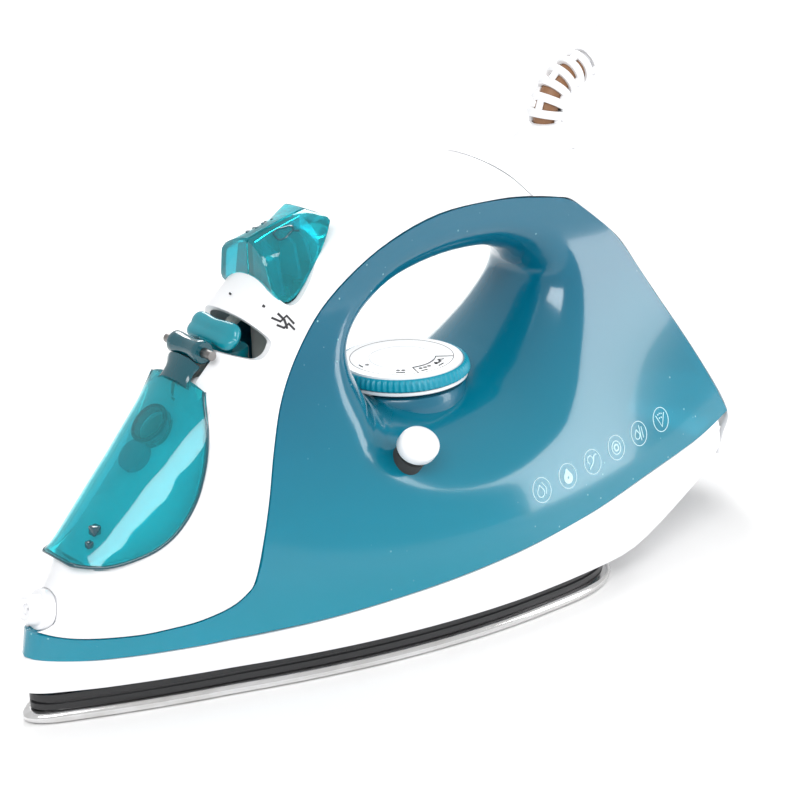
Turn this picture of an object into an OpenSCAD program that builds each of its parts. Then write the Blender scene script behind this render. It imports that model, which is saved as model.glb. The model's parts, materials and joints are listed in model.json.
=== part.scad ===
// Steam iron. Nose towards -X, heel towards +X, +Z up, soleplate underside at z = 0.

/* [Body] */
// Length of the soleplate
sole_len = 221; // [215:1:223]
// Largest half width of the soleplate
sole_half_w = 52; // [50:0.5:54]
// X of the soleplate's tip
sole_tip_x = -151; // [-152:0.5:-149]
// Wall thickness of the outer shells
shell_t = 2.2; // [1.8:0.1:2.6]
// Wall thickness of the water tank
tank_t = 2.4; // [2:0.1:3]
// Half width of the body near the hand grip
grip_half_w = 17.5; // [16:0.5:19]

/* [Soleplate] */
// Height of the rolled metal rim
rim_h = 3.6; // [3:0.1:4.5]
// Top of the black heater cover
band_top = 9.3; // [8:0.1:10]
// Radius of a steam vent
vent_r = 1.6; // [1.2:0.1:2]

/* [Dial] */
// X of the dial's vertical axis
dial_x = 3; // [1:1:5]
// Radius of the white cap
cap_r = 20.6; // [18:0.2:21]
// Radius over the knurled ring
ring_r = 22.6; // [21:0.2:23]
// Underside of the dial
dial_z = 75.5; // [75:0.1:77]

/* [Controls] */
// Travel of the spray and burst buttons
button_travel = 4; // [3:0.5:5]
// Lift of the steam valve rod
valve_lift = 2; // [1:0.5:3]
// Travel of the self-clean button
clean_travel = 2.5; // [2:0.5:3]

/* [Cord guard] */
// X of the guard's swivel
swivel_x = 68; // [66:1:70]
// Radius of the cord bore
cord_r = 3.6; // [3.2:0.1:4]

/* [Detail] */
// Steps between two stations of a lofted shell
loft_steps = 3; // [2:1:5]
// Segments round a circle
$fn = 40; // [24:4:96]

/* [Hidden] */
eps = 0.01;
nose_x = -151;
body_half_w = 52.6;
wide_x = 14;
section_n = 8;
seam_gap = 0.6;

// ---- curves and the outer surface ----
// Catmull-Rom point between p1 and p2
function spline(p0, p1, p2, p3, t) =
    0.5 * (2 * p1 + (p2 - p0) * t + (2 * p0 - 5 * p1 + 4 * p2 - p3) * t * t
    + (3 * p1 - p0 - 3 * p2 + p3) * t * t * t);
// A smooth row through the stations, open or closed
function smooth(p, steps, closed = false) =
    let (n = len(p), last = closed ? n - 1 : n - 2)
    concat(
        [for (i = [0:last]) for (k = [0:steps - 1])
            let (a = closed ? p[(i + n - 1) % n] : p[max(i - 1, 0)],
                 d = closed ? p[(i + 2) % n] : p[min(i + 2, n - 1)])
            spline(a, p[i], p[(i + 1) % n], d, k / steps)],
        closed ? [] : [p[n - 1]]);
// Extra half width that rounds off a nose, at distance a from its tip
function blunt_nose(a) = 4 * sqrt(1 - pow(1 - min(max(a, 0) / 7, 1), 2)) * max(1 - a / 60, 0);
// Half width of the plan outline at x
function plan_w(x) =
    let (a = x - nose_x, reach = wide_x - nose_x)
    a > reach ? body_half_w - 22 * pow((a - reach) / 135, 1.8)
    : body_half_w * (1 - pow(1 - max(a, 0) / reach, 1.85)) + blunt_nose(a);
// Share of the base flare that is left at height z
function flare(z) = let (t = min(max((z - 27) / 93, 0), 1)) 1 - t * t * (3 - 2 * t);
// Half width of the body at x, z
function body_w(x, z) =
    let (b = plan_w(x), g = min(grip_half_w, b)) g + (b - g) * flare(z);
// Rounding of the section at distance d from an outline, with edge radius r
function round_off(d, r, n = 2.2) = d >= r ? 1 : pow(1 - pow(1 - max(d, 0) / r, n), 1 / n);
// One side of a section from the seam point b to the outline point o, j = 0 .. section_n
function side_pts(b, o, r, t, s) =
    let (l = norm(o - b), l2 = max(l - t, 0.6), u = (o - b) / l)
    [for (j = [0:section_n])
        let (a = sin(90 * j / section_n), q = b + u * l2 * a, d = l2 * (1 - a))
        [q[0], s * max(body_w(q[0], q[1]) - t, 0.5) * round_off(d, r), q[1]]];
// The wall section: left seam over the outline to the right seam, then back inside
function wall_section(b, o, r, t) =
    let (lo = side_pts(b, o, r, 0, -1), li = side_pts(b, o, max(r - t, 1), t, -1),
         ro = side_pts(b, o, r, 0, 1), ri = side_pts(b, o, max(r - t, 1), t, 1), n = section_n)
    concat(lo, [for (j = [n - 1:-1:0]) ro[j]], ri, [for (j = [n - 1:-1:0]) li[j]]);
// The solid section: the same outline closed straight across at the seam
function solid_section(b, o, r, t) =
    let (b2 = b + (o - b) / norm(o - b) * t, lo = side_pts(b2, o, max(r - t, 1), t, -1),
         ro = side_pts(b2, o, max(r - t, 1), t, 1), n = section_n)
    concat(lo, [for (j = [n - 1:-1:0]) ro[j]]);
// Joins rings of points into one closed solid
module loft(rings, closed = false) {
    n = len(rings);
    m = len(rings[0]);
    sides = [for (i = [0:closed ? n - 1 : n - 2]) for (j = [0:m - 1])
        let (a = i * m + j, b = i * m + (j + 1) % m, c = ((i + 1) % n) * m)
        each [[a, b, c + (j + 1) % m], [a, c + (j + 1) % m, c + j]]];
    half = floor(m / 2);
    caps = closed ? [] : [for (e = [0, (n - 1) * m]) for (j = [0:half - 2])
        let (q = [e + j, e + m - 1 - j, e + m - 2 - j, e + j + 1])
        each (e == 0 ? [[q[0], q[1], q[2]], [q[0], q[2], q[3]]]
            : [[q[0], q[2], q[1]], [q[0], q[3], q[2]]])];
    polyhedron(points = [for (r = rings) each r], faces = concat(sides, caps), convexity = 8);
}
// Stations are [seam x, seam z, outline x, outline z, edge radius]
function stations(p, closed = false) = smooth(p, loft_steps, closed);
module shell(p, t) {
    loft([for (s = stations(p))
        let (b = [s[0], s[1]], o = [s[2], s[3]])
        wall_section(b + (o - b) / norm(o - b) * seam_gap, o, s[4], t)]);
}
// Extrudes a side-view outline along Y between y0 and y1
module side_prism(p, y0 = -80, y1 = 80) {
    translate([0, y1, 0]) rotate([90, 0, 0]) linear_extrude(y1 - y0) polygon(p);
}
// A round bar between two points
module bar(p, q, r) {
    v = q - p;
    l = norm(v);
    translate(p) rotate([0, acos(v[2] / l), atan2(v[1], v[0])]) cylinder(r = r, h = l);
}
// Tube swept along a hand-set route
module swept_tube(route, r, sides = 8) {
    c = smooth(route, 3);
    n = len(c);
    rings = [for (i = [0:n - 1])
        let (v = c[min(i + 1, n - 1)] - c[max(i - 1, 0)], t = v / norm(v),
             h = abs(t[1]) > 0.9 ? [1, 0, 0] : [0, 1, 0], a = cross(h, t) / norm(cross(h, t)),
             b = cross(t, a))
        [for (k = [0:sides - 1]) c[i] + r * (a * cos(360 * k / sides) + b * sin(360 * k / sides))]];
    loft(rings);
}

// ---- stations of the outer skin ----
top_stations = [
    [-144.8, 30.2, -146.4, 31.5, 6], [-130, 26.5, -142, 37, 9], [-110, 26.3, -136, 44, 14],
    [-92, 30, -131.5, 51.5, 20], [-83, 37.5, -122, 62, 24], [-78.5, 50, -108, 76, 24],
    [-70, 76, -88, 96, 20], [-63, 90, -76, 108.5, 18], [-53, 103, -66, 117.5, 16],
    [-39, 115.7, -50, 128, 14], [-18, 127.4, -26, 137, 14], [8, 133.5, 5, 143, 13],
    [30, 133.5, 30, 146, 13], [44, 132, 44, 146, 13]];
rear_stations = [
    [44.4, 132, 44.4, 146, 13], [55, 130.5, 60, 145, 12], [66, 125.5, 76, 143.5, 11],
    [76, 117, 89, 132, 10], [85, 108, 101.5, 113.5, 10], [97, 86, 115, 88, 10],
    [109, 63, 128, 62, 10], [118, 42, 140, 42, 11], [114.5, 31, 150, 28, 12],
    [113, 26.5, 149, 18.5, 12]];
tank_stations = [
    [-79, 21.5, -19, 75, 26], [-82, 36, -23, 80, 24], [-79.6, 44, -24.5, 83.5, 22],
    [-78.2, 52, -26, 86, 20],
    [-69.7, 76, -28.5, 93, 16], [-62.6, 89.8, -28.5, 99, 14], [-52.6, 102.6, -25, 104.5, 13],
    [-38.7, 115.3, -18, 109, 12], [-18, 127, -6, 113.2, 12], [8, 133, 12, 115.8, 12],
    [40, 132.2, 33, 115, 12], [65.5, 125, 45, 110.5, 13], [84.5, 107.5, 51, 104, 14],
    [96.5, 85.6, 49, 96, 16], [108.4, 63, 41, 87, 20], [113.7, 52, 37, 84, 22],
    [117.2, 42.6, 33, 80, 24], [111, 41.5, 31.5, 79, 25],
    [80, 36.5, 24, 74.5, 28], [45, 31.4, 14, 73, 28], [0, 26.4, 0, 72.5, 28],
    [-37, 23, -10, 73, 28]];
// Nose lobe of the tank: x, lower z, upper z
lobe_stations = [[-149, 22.4, 29.2], [-144, 21.4, 29.4], [-130, 20.2, 26], [-110, 20, 25.8],
    [-92, 20.4, 29.4], [-82, 21, 37], [-76, 21.6, 44]];
door_outline = [[-134, 50.5], [-126, 50], [-114, 52], [-102.5, 59.5], [-94.5, 71], [-90, 81],
    [-86.8, 90], [-84.5, 97.5], [-83.5, 103]];
hinge_c = [-81, 106];
ear_in = 8.2;
ear_out = 12.2;
lever_x = -66;
pump_x = -44;
pump_y = 8;
nozzle_base = [-126, 0, 30.5];
clean_pos = [-24.5, -37.2, 64.8];
clean_tilt = 42;
clamp_c = [80, 0, 118.6];
rear_boss = [96.8, 0, 91.8];
rear_boss_tilt = 63;
block_c = [115.2, 0, 66];
block_tilt = -27;
skirt_rear_x = 112;
foot_half_w = 27;

// ---- soleplate group ----
// Plan outline of the soleplate, moved inwards by d
function sole_w(x, d) =
    let (l = sole_len - 2 * d, tip = sole_tip_x + 1.4 * d, split = wide_x - 2,
         tail = sole_tip_x + sole_len - d, w = sole_half_w - d)
    x < split ? w * (1 - pow(1 - max((x - tip) / (split - tip), 0), 1.8)) + blunt_nose(x - tip)
    : w * sqrt(1 - pow(min((x - split) / (tail - split), 1), 4.5));
module sole_plan(d) {
    tip = sole_tip_x + 1.4 * d;
    tail = sole_tip_x + sole_len - d;
    xs = concat([for (k = [0:22]) tip + (wide_x - 2 - tip) * pow(k / 22, 1.5)],
        [for (k = [1:12]) wide_x - 2 + (tail - wide_x + 2) * sin(90 * k / 12)]);
    edge = [for (x = xs) [x, max(sole_w(x, d), x == xs[0] || x == tail ? 0 : 0.3)]];
    polygon(concat(edge, [for (k = [len(edge) - 2:-1:1]) [edge[k][0], -edge[k][1]]]));
}
// Steam vents in a V along the edge and in the nose
vent_places = concat([for (k = [0:7]) for (s = [-1, 1]) [-96 + 18 * k, s * (16 + 2.9 * k)]],
    [[-118, 0], [-110, 5], [-110, -5], [-102, 0]]);
screw_places = [[-135.5, 0], [42, 41], [42, -41]];
flange_inset = 14;
chamber_x = -60;
module soleplate() {
    color("silver") difference() {
        union() {
            linear_extrude(rim_h - 0.8) sole_plan(0);
            translate([0, 0, rim_h - 0.8 - eps]) linear_extrude(0.8 + eps) sole_plan(0.9);
        }
        for (p = vent_places) translate([p[0], p[1], -1]) cylinder(r = vent_r, h = 8);
    }
}
module heater_cover() {
    color("black") translate([0, 0, rim_h]) difference() {
        linear_extrude(band_top - rim_h) sole_plan(2.2);
        translate([0, 0, -1]) linear_extrude(band_top) sole_plan(4.4);
    }
}
element_leg = 46;
module element_path(r) {
    for (s = [-1, 1]) bar([element_leg, s * 24, 10], [-20, s * 24, 10], r);
    translate([-20, 0, 10]) rotate([0, 0, 90]) rotate_extrude(angle = 180)
        translate([24, 0]) circle(r = r);
    for (s = [-1, 1]) bar([element_leg - 4, s * 24, 10], [element_leg - 4, s * 24, 17], r);
}
module steam_casting() {
    color("lightgray") difference() {
        union() {
            translate([0, 0, rim_h]) linear_extrude(9.4 - rim_h) sole_plan(5);
            translate([0, 0, 9.3]) linear_extrude(4.7) sole_plan(flange_inset + 1);
        }
        translate([chamber_x, 0, 8]) cylinder(r = 15, h = 10);
        for (p = vent_places) translate([p[0], p[1], 0]) cylinder(r = vent_r, h = 20);
        element_path(3.6);
        for (s = [-1, 1]) translate([-20, s * 24 - 3.6, 10]) cube([element_leg + 24, 7.2, 10]);
        translate([0, 0, 10]) difference() {
            translate([-20, 0, 0]) cylinder(r = 27.6, h = 10);
            translate([-20, 0, -1]) cylinder(r = 20.4, h = 12);
            translate([-20, -40, -1]) cube([80, 80, 12]);
        }
        for (p = screw_places) translate([p[0], p[1], 6]) cylinder(r = 1.7, h = 10);
    }
}
module heating_element() {
    color("dimgray") element_path(3.3);
}
module chamber_gasket() {
    color("firebrick") translate([0, 0, 14]) difference() {
        translate([chamber_x, 0, 0]) cylinder(r = 19, h = 0.8);
        translate([chamber_x, 0, -1]) cylinder(r = 16, h = 3);
    }
}
module chamber_cover() {
    color("gainsboro") translate([0, 0, 14.8]) difference() {
        translate([chamber_x, 0, 0]) cylinder(r = 19, h = 1.2);
        translate([lever_x, 0, -1]) cylinder(r = 2.6, h = 4);
        translate([pump_x - 4, -pump_y, -1]) cylinder(r = 1.6, h = 4);
    }
}
module thermostat() {
    color("saddlebrown") translate([dial_x, 0, 14.02]) difference() {
        union() {
            cylinder(r = 9, h = 3);
            translate([-6, -14, 0]) cube([12, 28, 1.5]);
            cylinder(r = 4.5, h = 7.4);
        }
        translate([0, 0, 2]) cylinder(r = 2.04, h = 10);
    }
}
module thermal_fuse() {
    color("tan") {
        bar([28, 8, 16.52], [46, 8, 16.52], 2.5);
        bar([24, 8, 16.52], [28.5, 8, 16.52], 0.8);
        bar([45.5, 8, 16.52], [50, 8, 16.52], 0.8);
    }
}

// ---- skirt ----
// Height of the skirt's lower and upper edge at x
function skirt_low(x) = x < 60 ? 9.5 : 9.5 + 17 * pow((x - 60) / 52, 1.25);
function skirt_high(x) = x < -100 ? 19.6 + 2.6 * pow((-100 - x) / 51, 2)
    : 19.6 + 21.9 * pow((x + 100) / 218, 1.75);
function skirt_point(u) =
    let (x = nose_x + (skirt_rear_x - nose_x) * pow(abs(u), 2)) [x, sign(u) * plan_w(x)];
module skirt() {
    steps = 30;
    rings = [for (k = [-steps:steps])
        let (u = k / steps, e = 0.004, p = skirt_point(u), v = skirt_point(u + e) - skirt_point(u - e),
             n = [-v[1], v[0]] / norm(v), q = p - 2.6 * n, x = p[0], lo = skirt_low(x),
             hi = skirt_high(x) - 0.5)
        [[p[0], p[1], hi], [p[0], p[1], lo], [q[0], q[1], lo], [q[0], q[1], hi]]];
    color("white") {
        loft(rings);
        difference() {
            intersection() {
                translate([0, 0, 9.5]) linear_extrude(2.4) sole_plan(1.5);
                translate([-160, -70, 0]) cube([222, 140, 30]);
            }
            translate([0, 0, 5]) linear_extrude(20) sole_plan(flange_inset);
            for (p = screw_places) translate([p[0], p[1], 0]) cylinder(r = 2, h = 30);
        }
        difference() {
            intersection() {
                side_prism([[58, 9.5], [70, 11.2], [90, 18], [111, 26.5], [111, 29], [89, 20.6],
                    [69, 13.6], [58, 11.9]]);
                linear_extrude(60) polygon([for (u = [-1:0.05:1]) let (p = skirt_point(u)) p * 0.97]);
            }
            for (s = [-1, 1]) translate([90, s * 26, 0]) cylinder(r = 1.5, h = 40);
        }
    }
}

// ---- water tank ----
module tank_lobe() {
    pts = smooth(lobe_stations, 2);
    rings = [for (p = pts)
        let (x = p[0], lo = p[1], hi = p[2], wl = plan_w(x) - 0.05, wh = body_w(x, hi) - 0.05)
        [[x, -wl, lo], [x, -wh, hi], [x, wh, hi], [x, wl, lo]]];
    loft(rings);
}
module tank_skin(t) {
    ring = stations(tank_stations, true);
    loft([for (k = [len(ring) - 1:-1:0]) let (s = ring[k])
        solid_section([s[0], s[1]], [s[2], s[3]], s[4], t)], true);
}
module water_tank() {
    color("teal", 0.7) difference() {
        union() {
            tank_skin(0);
            tank_lobe();
            for (s = [-1, 1]) translate([clamp_c[0], s * 10, 108]) cylinder(r = 3, h = clamp_c[2] - 108);
        }
        difference() {
            tank_skin(tank_t);
            translate([dial_x, 0, 10]) cylinder(r = 7, h = 80);
            for (s = [-1, 1]) translate([pump_x, s * pump_y, 82]) cylinder(r = 9.2, h = 50);
            for (s = [-1, 1]) translate([clamp_c[0], s * 10, 100]) cylinder(r = 3, h = 20);
        }
        translate([dial_x, 0, 10]) cylinder(r = 5, h = 80);
        translate([dial_x, 0, 70]) cylinder(r = 11.05, h = 20);
        translate([pump_x - 2.2, -pump_y, 103.8]) cube([20, 2 * pump_y, 20]);
        bar([pump_x, pump_y, 109], [pump_x - 12, pump_y, 109], 2.3);
        for (s = [-1, 1]) translate([clamp_c[0], s * 10, 112]) cylinder(r = 1.6, h = 20);
        for (s = [-1, 1]) translate([pump_x, s * pump_y, 86]) cylinder(r = 7, h = 50);
        translate([pump_x - 4, -pump_y, 10]) cylinder(r = 2, h = 80);
        translate([lever_x, 0, 70]) cylinder(r = 2.06, h = 30);
        translate([lever_x, 0, 10]) cylinder(r = 4, h = 20);
        bar([-92, 0, 62], [-70, 0, 46], 6.05);
        translate(clean_pos) rotate([clean_tilt, 0, 0]) cylinder(r = 5.4, h = 60, center = true);
    }
}
module dial_boss() {
    color("lightcyan", 0.8) translate([dial_x, 0, 70]) difference() {
        cylinder(r1 = 11, r2 = 9, h = 5);
        translate([0, 0, -1]) cylinder(r = 3.05, h = 8);
        translate([0, 0, -1]) cylinder(r = 5, h = 3.4);
    }
}

// ---- upper shells ----
// The cut-out for the buttons, and the buttons' side view
button_side = [[-56.5, 121], [-58, 135], [-57, 136], [-47, 138.6], [-34, 141], [-33, 139.5],
    [-38, 131], [-46, 122], [-51, 118.4], [-54.5, 118.2]];
module top_shell() {
    color("white") difference() {
        shell(top_stations, shell_t);
        side_prism(concat(door_outline, [[-70, 112], [-84, 118], [-140, 60]]));
        translate([0, 0, -button_travel]) side_prism([[-57.1, 120.6], [-59, 150], [-31.5, 150],
            [-31.5, 139.5], [-37.2, 130.5], [-45.3, 121.3], [-50.6, 117.7], [-55, 117.5]]);
        side_prism([[-95, 92], [-79, 99.5], [-76.2, 103], [-76.2, 110], [-84, 116]], -8.05, 8.05);
        side_prism([[-81, 108], [-72, 118.5], [-62.5, 109], [-62.5, 105.5], [-67, 102.5], [-72, 102.5]]);
        translate(nozzle_base) rotate([0, -71.8, 0]) {
            cylinder(r = 5, h = 60);
            translate([0, 0, 14.6]) cylinder(r = 6.8, h = 60);
        }
    }
    color("white") for (s = [-1, 1]) difference() {
        union() {
            side_prism([[-86.5, 101], [-79, 98], [-75, 104], [-76.5, 109.5]], min(s * ear_in, s * ear_out),
                max(s * ear_in, s * ear_out));
            translate([hinge_c[0], s * ear_in, hinge_c[1]]) rotate([s * -90, 0, 0])
                cylinder(r = 4, h = ear_out - ear_in);
        }
        translate([hinge_c[0], 0, hinge_c[1]]) rotate([90, 0, 0])
            cylinder(r = 1.5, h = 60, center = true);
    }
}
module rear_cover() {
    color("white") difference() {
        union() {
            shell(rear_stations, shell_t);
            side_prism([[114, 27.6], [146, 20.6], [146, 22.6], [114, 29.8]], -foot_half_w, foot_half_w);
            translate(rear_boss) rotate([0, rear_boss_tilt, 0]) cylinder(r = 4, h = 14);
        }
        translate([swivel_x, 0, 130]) cylinder(r = 12.5, h = 40);
        translate(rear_boss) rotate([0, rear_boss_tilt, 0]) {
            translate([0, 0, -1]) cylinder(r = 1.7, h = 60);
            translate([0, 0, 11.5]) cylinder(r = 3.2, h = 60);
        }
    }
}
module spray_nozzle() {
    color("white") translate(nozzle_base) rotate([0, -71.8, 0]) difference() {
        union() {
            cylinder(r = 4.9, h = 16);
            translate([0, 0, 15]) cylinder(r = 6.6, h = 3.2);
            translate([0, 0, 18]) cylinder(r = 4.6, h = 4.5);
        }
        translate([0, 0, -1]) cylinder(r = 1.5, h = 30);
        translate([0, 0, 19]) cylinder(r = 3, h = 10);
    }
}
module nozzle_tip() {
    color("white") translate(nozzle_base) rotate([0, -71.8, 0]) translate([0, 0, 19]) difference() {
        cylinder(r = 3, h = 2.2);
        translate([0, 0, -1]) cylinder(r = 0.5, h = 5);
    }
}

// ---- fill door ----
door_stations = [
    [-133.6, 51.4, -135, 51.5, 5], [-126, 51, -131.4, 54.8, 12], [-114, 53, -125.5, 60.5, 19],
    [-103.5, 60.5, -115, 70.5, 21], [-95.6, 72, -105, 80, 20], [-90.9, 82, -97, 88, 18],
    [-87.6, 90.5, -91, 94, 15], [-85.6, 97, -86.5, 99.6, 12]];
module fill_door() {
    color("darkturquoise", 0.6) {
        shell(door_stations, 1.8);
        difference() {
            union() {
                translate([hinge_c[0], 0, hinge_c[1]]) rotate([90, 0, 0])
                    cylinder(r = 3.6, h = 15.6, center = true);
                side_prism([[-88.5, 96], [-86, 98.5], [-80.5, 103.5], [-83, 106.5], [-90, 99]],
                    -7, 7);
            }
            translate([hinge_c[0], 0, hinge_c[1]]) rotate([90, 0, 0])
                cylinder(r = 1.55, h = 60, center = true);
        }
    }
}
module door_hinge_pin() {
    color("dimgray") translate([hinge_c[0], 0, hinge_c[1]]) rotate([90, 0, 0])
        cylinder(r = 1.5, h = 2 * ear_out, center = true);
}
plug_c = [-104, 0, 76];
module fill_plug() {
    color("teal") translate(plug_c) rotate([0, 135, 0]) difference() {
        union() {
            translate([0, 0, -0.5]) cylinder(r = 5.4, h = 6);
            translate([0, 0, 4]) cylinder(r = 6.6, h = 1.6);
        }
        translate([0, 0, 1]) cylinder(r = 3.6, h = 10);
    }
}
module fill_funnel() {
    color("white", 0.9) difference() {
        union() {
            bar([-98, 0, 69.4], [-90.4, 0, 60.9], 7.6);
            bar([-92, 0, 62], [-74, 0, 48.9], 6);
        }
        bar([-99, 0, 70.5], [-91, 0, 61.5], 5.9);
        bar([-92.6, 0, 62.5], [-72, 0, 47.5], 4.4);
    }
}

// ---- steam lever and valve ----
module steam_lever() {
    color("teal") {
        difference() {
            union() {
                translate([lever_x, 0, 98]) cylinder(r = 6, h = 4.5);
                side_prism([[-66, 98], [-72, 104.5], [-76.5, 110], [-72.5, 114.2], [-64.5, 103]], -3.5, 3.5);
            }
            translate([lever_x, 0, 90]) cylinder(r = 2.05, h = 30);
        }
        translate([-74.2, 0, 112.2]) rotate([0, 45, 0]) cube([3, 12, 7], center = true);
    }
}
module valve_rod() {
    color("silver") {
        translate([lever_x, 0, 24.8]) cylinder(r = 2, h = 75.2 + valve_lift);
        translate([lever_x, 0, 19]) cylinder(r1 = 0.9, r2 = 2, h = 6);
        translate([lever_x, 0, 40]) cylinder(r = 3.6, h = 1.2);
    }
}
module coil(r, wire, z0, z1, turns) {
    c = [for (k = [0:turns * 10]) [r * cos(36 * k), r * sin(36 * k),
        z0 + wire + (z1 - z0 - 2 * wire) * k / (turns * 10)]];
    n = len(c);
    loft([for (i = [0:n - 1])
        let (v = c[min(i + 1, n - 1)] - c[max(i - 1, 0)], t = v / norm(v),
             a = cross([0, 0, 1], t) / norm(cross([0, 0, 1], t)), b = cross(t, a))
        [for (k = [0:3]) c[i] + wire * (a * cos(90 * k) + b * sin(90 * k))]]);
}
module valve_spring() {
    color("silver") translate([lever_x, 0, 0]) coil(2.9, 0.35, 41.2, 72, 7);
}
module valve_seat() {
    color("firebrick") translate([lever_x, 0, 16]) difference() {
        cylinder(r = 4, h = 8.4);
        translate([0, 0, 2.4]) cylinder(r = 2.4, h = 10);
        translate([0, 0, -1]) cylinder(r = 1.1, h = 10);
    }
}

// ---- buttons and pumps ----
module thumb_button(side) {
    difference() {
        side_prism(button_side, side > 0 ? 0.25 : -15, side > 0 ? 15 : -0.25);
        side_prism([[-54.5, 119.5], [-56, 133.5], [-47, 136.4], [-36, 138.6], [-40, 131], [-47, 123],
            [-51.5, 120]], side > 0 ? 2 : -13, side > 0 ? 13 : -2);
        translate([-60, side * 17, 143.5]) rotate([side * -18, 0, 0]) translate([0, -20, 0])
            cube([60, 40, 6]);
    }
    translate([pump_x, side * pump_y, 121.2]) cylinder(r = 3.4, h = 13);
}
module spray_button() {
    color("darkturquoise", 0.8) thumb_button(1);
}
module burst_button() {
    color("darkturquoise", 0.8) thumb_button(-1);
}
module pump_block() {
    color("whitesmoke") difference() {
        union() {
            for (s = [-1, 1]) translate([pump_x, s * pump_y, 88]) cylinder(r = 6.4, h = 26);
            translate([pump_x - 2, -pump_y, 104]) cube([4, 2 * pump_y, 9]);
            bar([pump_x, pump_y, 109], [pump_x - 9, pump_y, 109], 2);
        }
        for (s = [-1, 1]) translate([pump_x, s * pump_y, 90]) cylinder(r = 4.6, h = 30);
        bar([pump_x, pump_y, 109], [pump_x - 12, pump_y, 109], 1);
        translate([pump_x - 4, -pump_y, 80]) cylinder(r = 1.4, h = 10.2);
    }
}
module piston() {
    cylinder(r = 4.55, h = 5);
    translate([0, 0, 4]) cylinder(r = 1.8, h = 18);
}
module spray_piston() {
    color("silver") translate([pump_x, pump_y, 99.2]) piston();
}
module burst_piston() {
    color("silver") translate([pump_x, -pump_y, 99.2]) piston();
}
module spray_spring() {
    color("silver") translate([pump_x, pump_y, 0]) coil(3.2, 0.4, 90.05, 99.15, 4);
}
module burst_spring() {
    color("silver") translate([pump_x, -pump_y, 0]) coil(3.2, 0.4, 90.05, 99.15, 4);
}
module spray_hose() {
    color("whitesmoke") swept_tube([[pump_x - 9, pump_y, 109], [-58, 9, 107], [-66, 12, 98],
        [-72, 14, 85], [-82, 15, 68], [-92, 14, 50], [-106, 9, 38], [-118, 3, 32],
        [-125.2, 0, 30.3]], 1.8);
}
module burst_tube() {
    color("whitesmoke") difference() {
        translate([pump_x - 4, -pump_y, 16]) cylinder(r = 1.9, h = 71.9);
        translate([pump_x - 4, -pump_y, 10]) cylinder(r = 1.2, h = 90);
    }
}

// ---- dial ----
module dial_cap() {
    color("white") translate([dial_x, 0, dial_z + 2.1]) difference() {
        cylinder(r = cap_r, h = 4.3);
        translate([0, 0, -1]) cylinder(r = 2, h = 4);
    }
}
module dial_ring() {
    color("teal") translate([dial_x, 0, dial_z + 2]) difference() {
        cylinder(r = ring_r - 0.6, h = 3.6);
        translate([0, 0, 0.1]) cylinder(r = cap_r, h = 8);
        translate([0, 0, -1]) cylinder(r = cap_r - 3, h = 8);
        for (k = [0:59]) rotate([0, 0, 6 * k]) translate([ring_r, 0, -1]) cylinder(r = 1, h = 8);
    }
}
module dial_under_ring() {
    color("white") translate([dial_x, 0, dial_z]) difference() {
        cylinder(r = ring_r - 0.8, h = 2);
        translate([0, 0, -1]) cylinder(r = 3.05, h = 4);
    }
}
module dial_shaft() {
    color("silver") translate([dial_x, 0, 0]) {
        translate([0, 0, 16.1]) cylinder(r = 2, h = 63.4);
        translate([0, 0, 60]) cylinder(r = 3, h = dial_z + 2 - 60);
    }
}

// ---- self-clean valve ----
module on_clean_axis() {
    translate(clean_pos) rotate([clean_tilt, 0, 0]) children();
}
module self_clean_button() {
    color("white") on_clean_axis() {
        translate([0, 0, 1.7 + clean_travel]) cylinder(r = 6.4, h = 4.4);
        translate([0, 0, -12]) cylinder(r = 1.6, h = 17);
        translate([0, 0, -6]) cylinder(r = 3.2, h = 1.2);
    }
}
module self_clean_housing() {
    color("darkslategray") on_clean_axis() difference() {
        translate([0, 0, -13]) cylinder(r = 5.3, h = 14.6);
        translate([0, 0, -10]) cylinder(r = 3.8, h = 20);
        translate([0, 0, -20]) cylinder(r = 1.66, h = 20);
    }
}
module self_clean_spring() {
    color("silver") on_clean_axis() coil(2.6, 0.35, -9.98, -6.02, 2);
}

// ---- mains entry ----
module terminal_block() {
    color("whitesmoke") translate(block_c) rotate([0, block_tilt, 0]) difference() {
        translate([-4, -13, -9]) cube([8, 26, 18]);
        for (y = [-8, 0, 8]) translate([0, y, -20]) cylinder(r = 1.9, h = 40);
    }
}
lead_y = [-10, -6.5, 8];
module mains_leads() {
    color("sienna") for (k = [0:2]) swept_tube([[86.5, 2.6 * (k - 1), 121.5],
        [91, lead_y[k] * 0.7, 112], [97, lead_y[k], 100], [103, lead_y[k], 88],
        [110.8, 8 * (k - 1), 75.4]], 1.2, 6);
}
module cord_clamp() {
    color("black") translate(clamp_c) difference() {
        union() {
            translate([-5, -13, 0]) cube([10, 26, 2.4]);
            translate([-5, -7, 2.3]) cube([10, 14, 3.7]);
        }
        for (s = [-1, 1]) translate([0, s * 10, -1]) cylinder(r = 1.6, h = 10);
        translate([0, 0, 6.2]) rotate([0, 90, 0]) cylinder(r = cord_r, h = 30, center = true);
    }
}
module swivel_socket() {
    color("white") translate([swivel_x, 0, 0]) difference() {
        translate([0, 0, 133]) cylinder(r = 12.45, h = 5);
        translate([0, 0, 130]) cylinder(r = 9.06, h = 20);
    }
}
module swivel_ball() {
    color("white") translate([swivel_x, 0, 0]) difference() {
        union() {
            translate([0, 0, 132]) cylinder(r = 9, h = 8.6);
            translate([0, 0, 131]) cylinder(r = 10.4, h = 1.9);
            translate([0, 0, 140.5]) cylinder(r1 = 9, r2 = 6.4, h = 2.5);
        }
        translate([0, 0, 120]) cylinder(r = 5.4, h = 40);
    }
}
// The sleeve rises, bends rearwards on an arc, then runs straight to its bell mouth
bend_z = 149;
bend_r = 16;
bend_angle = 71;
guard_run = 10;
bell_len = 8;
guard_end = [swivel_x + bend_r * (1 - cos(bend_angle)), 0, bend_z + bend_r * sin(bend_angle)];
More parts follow.
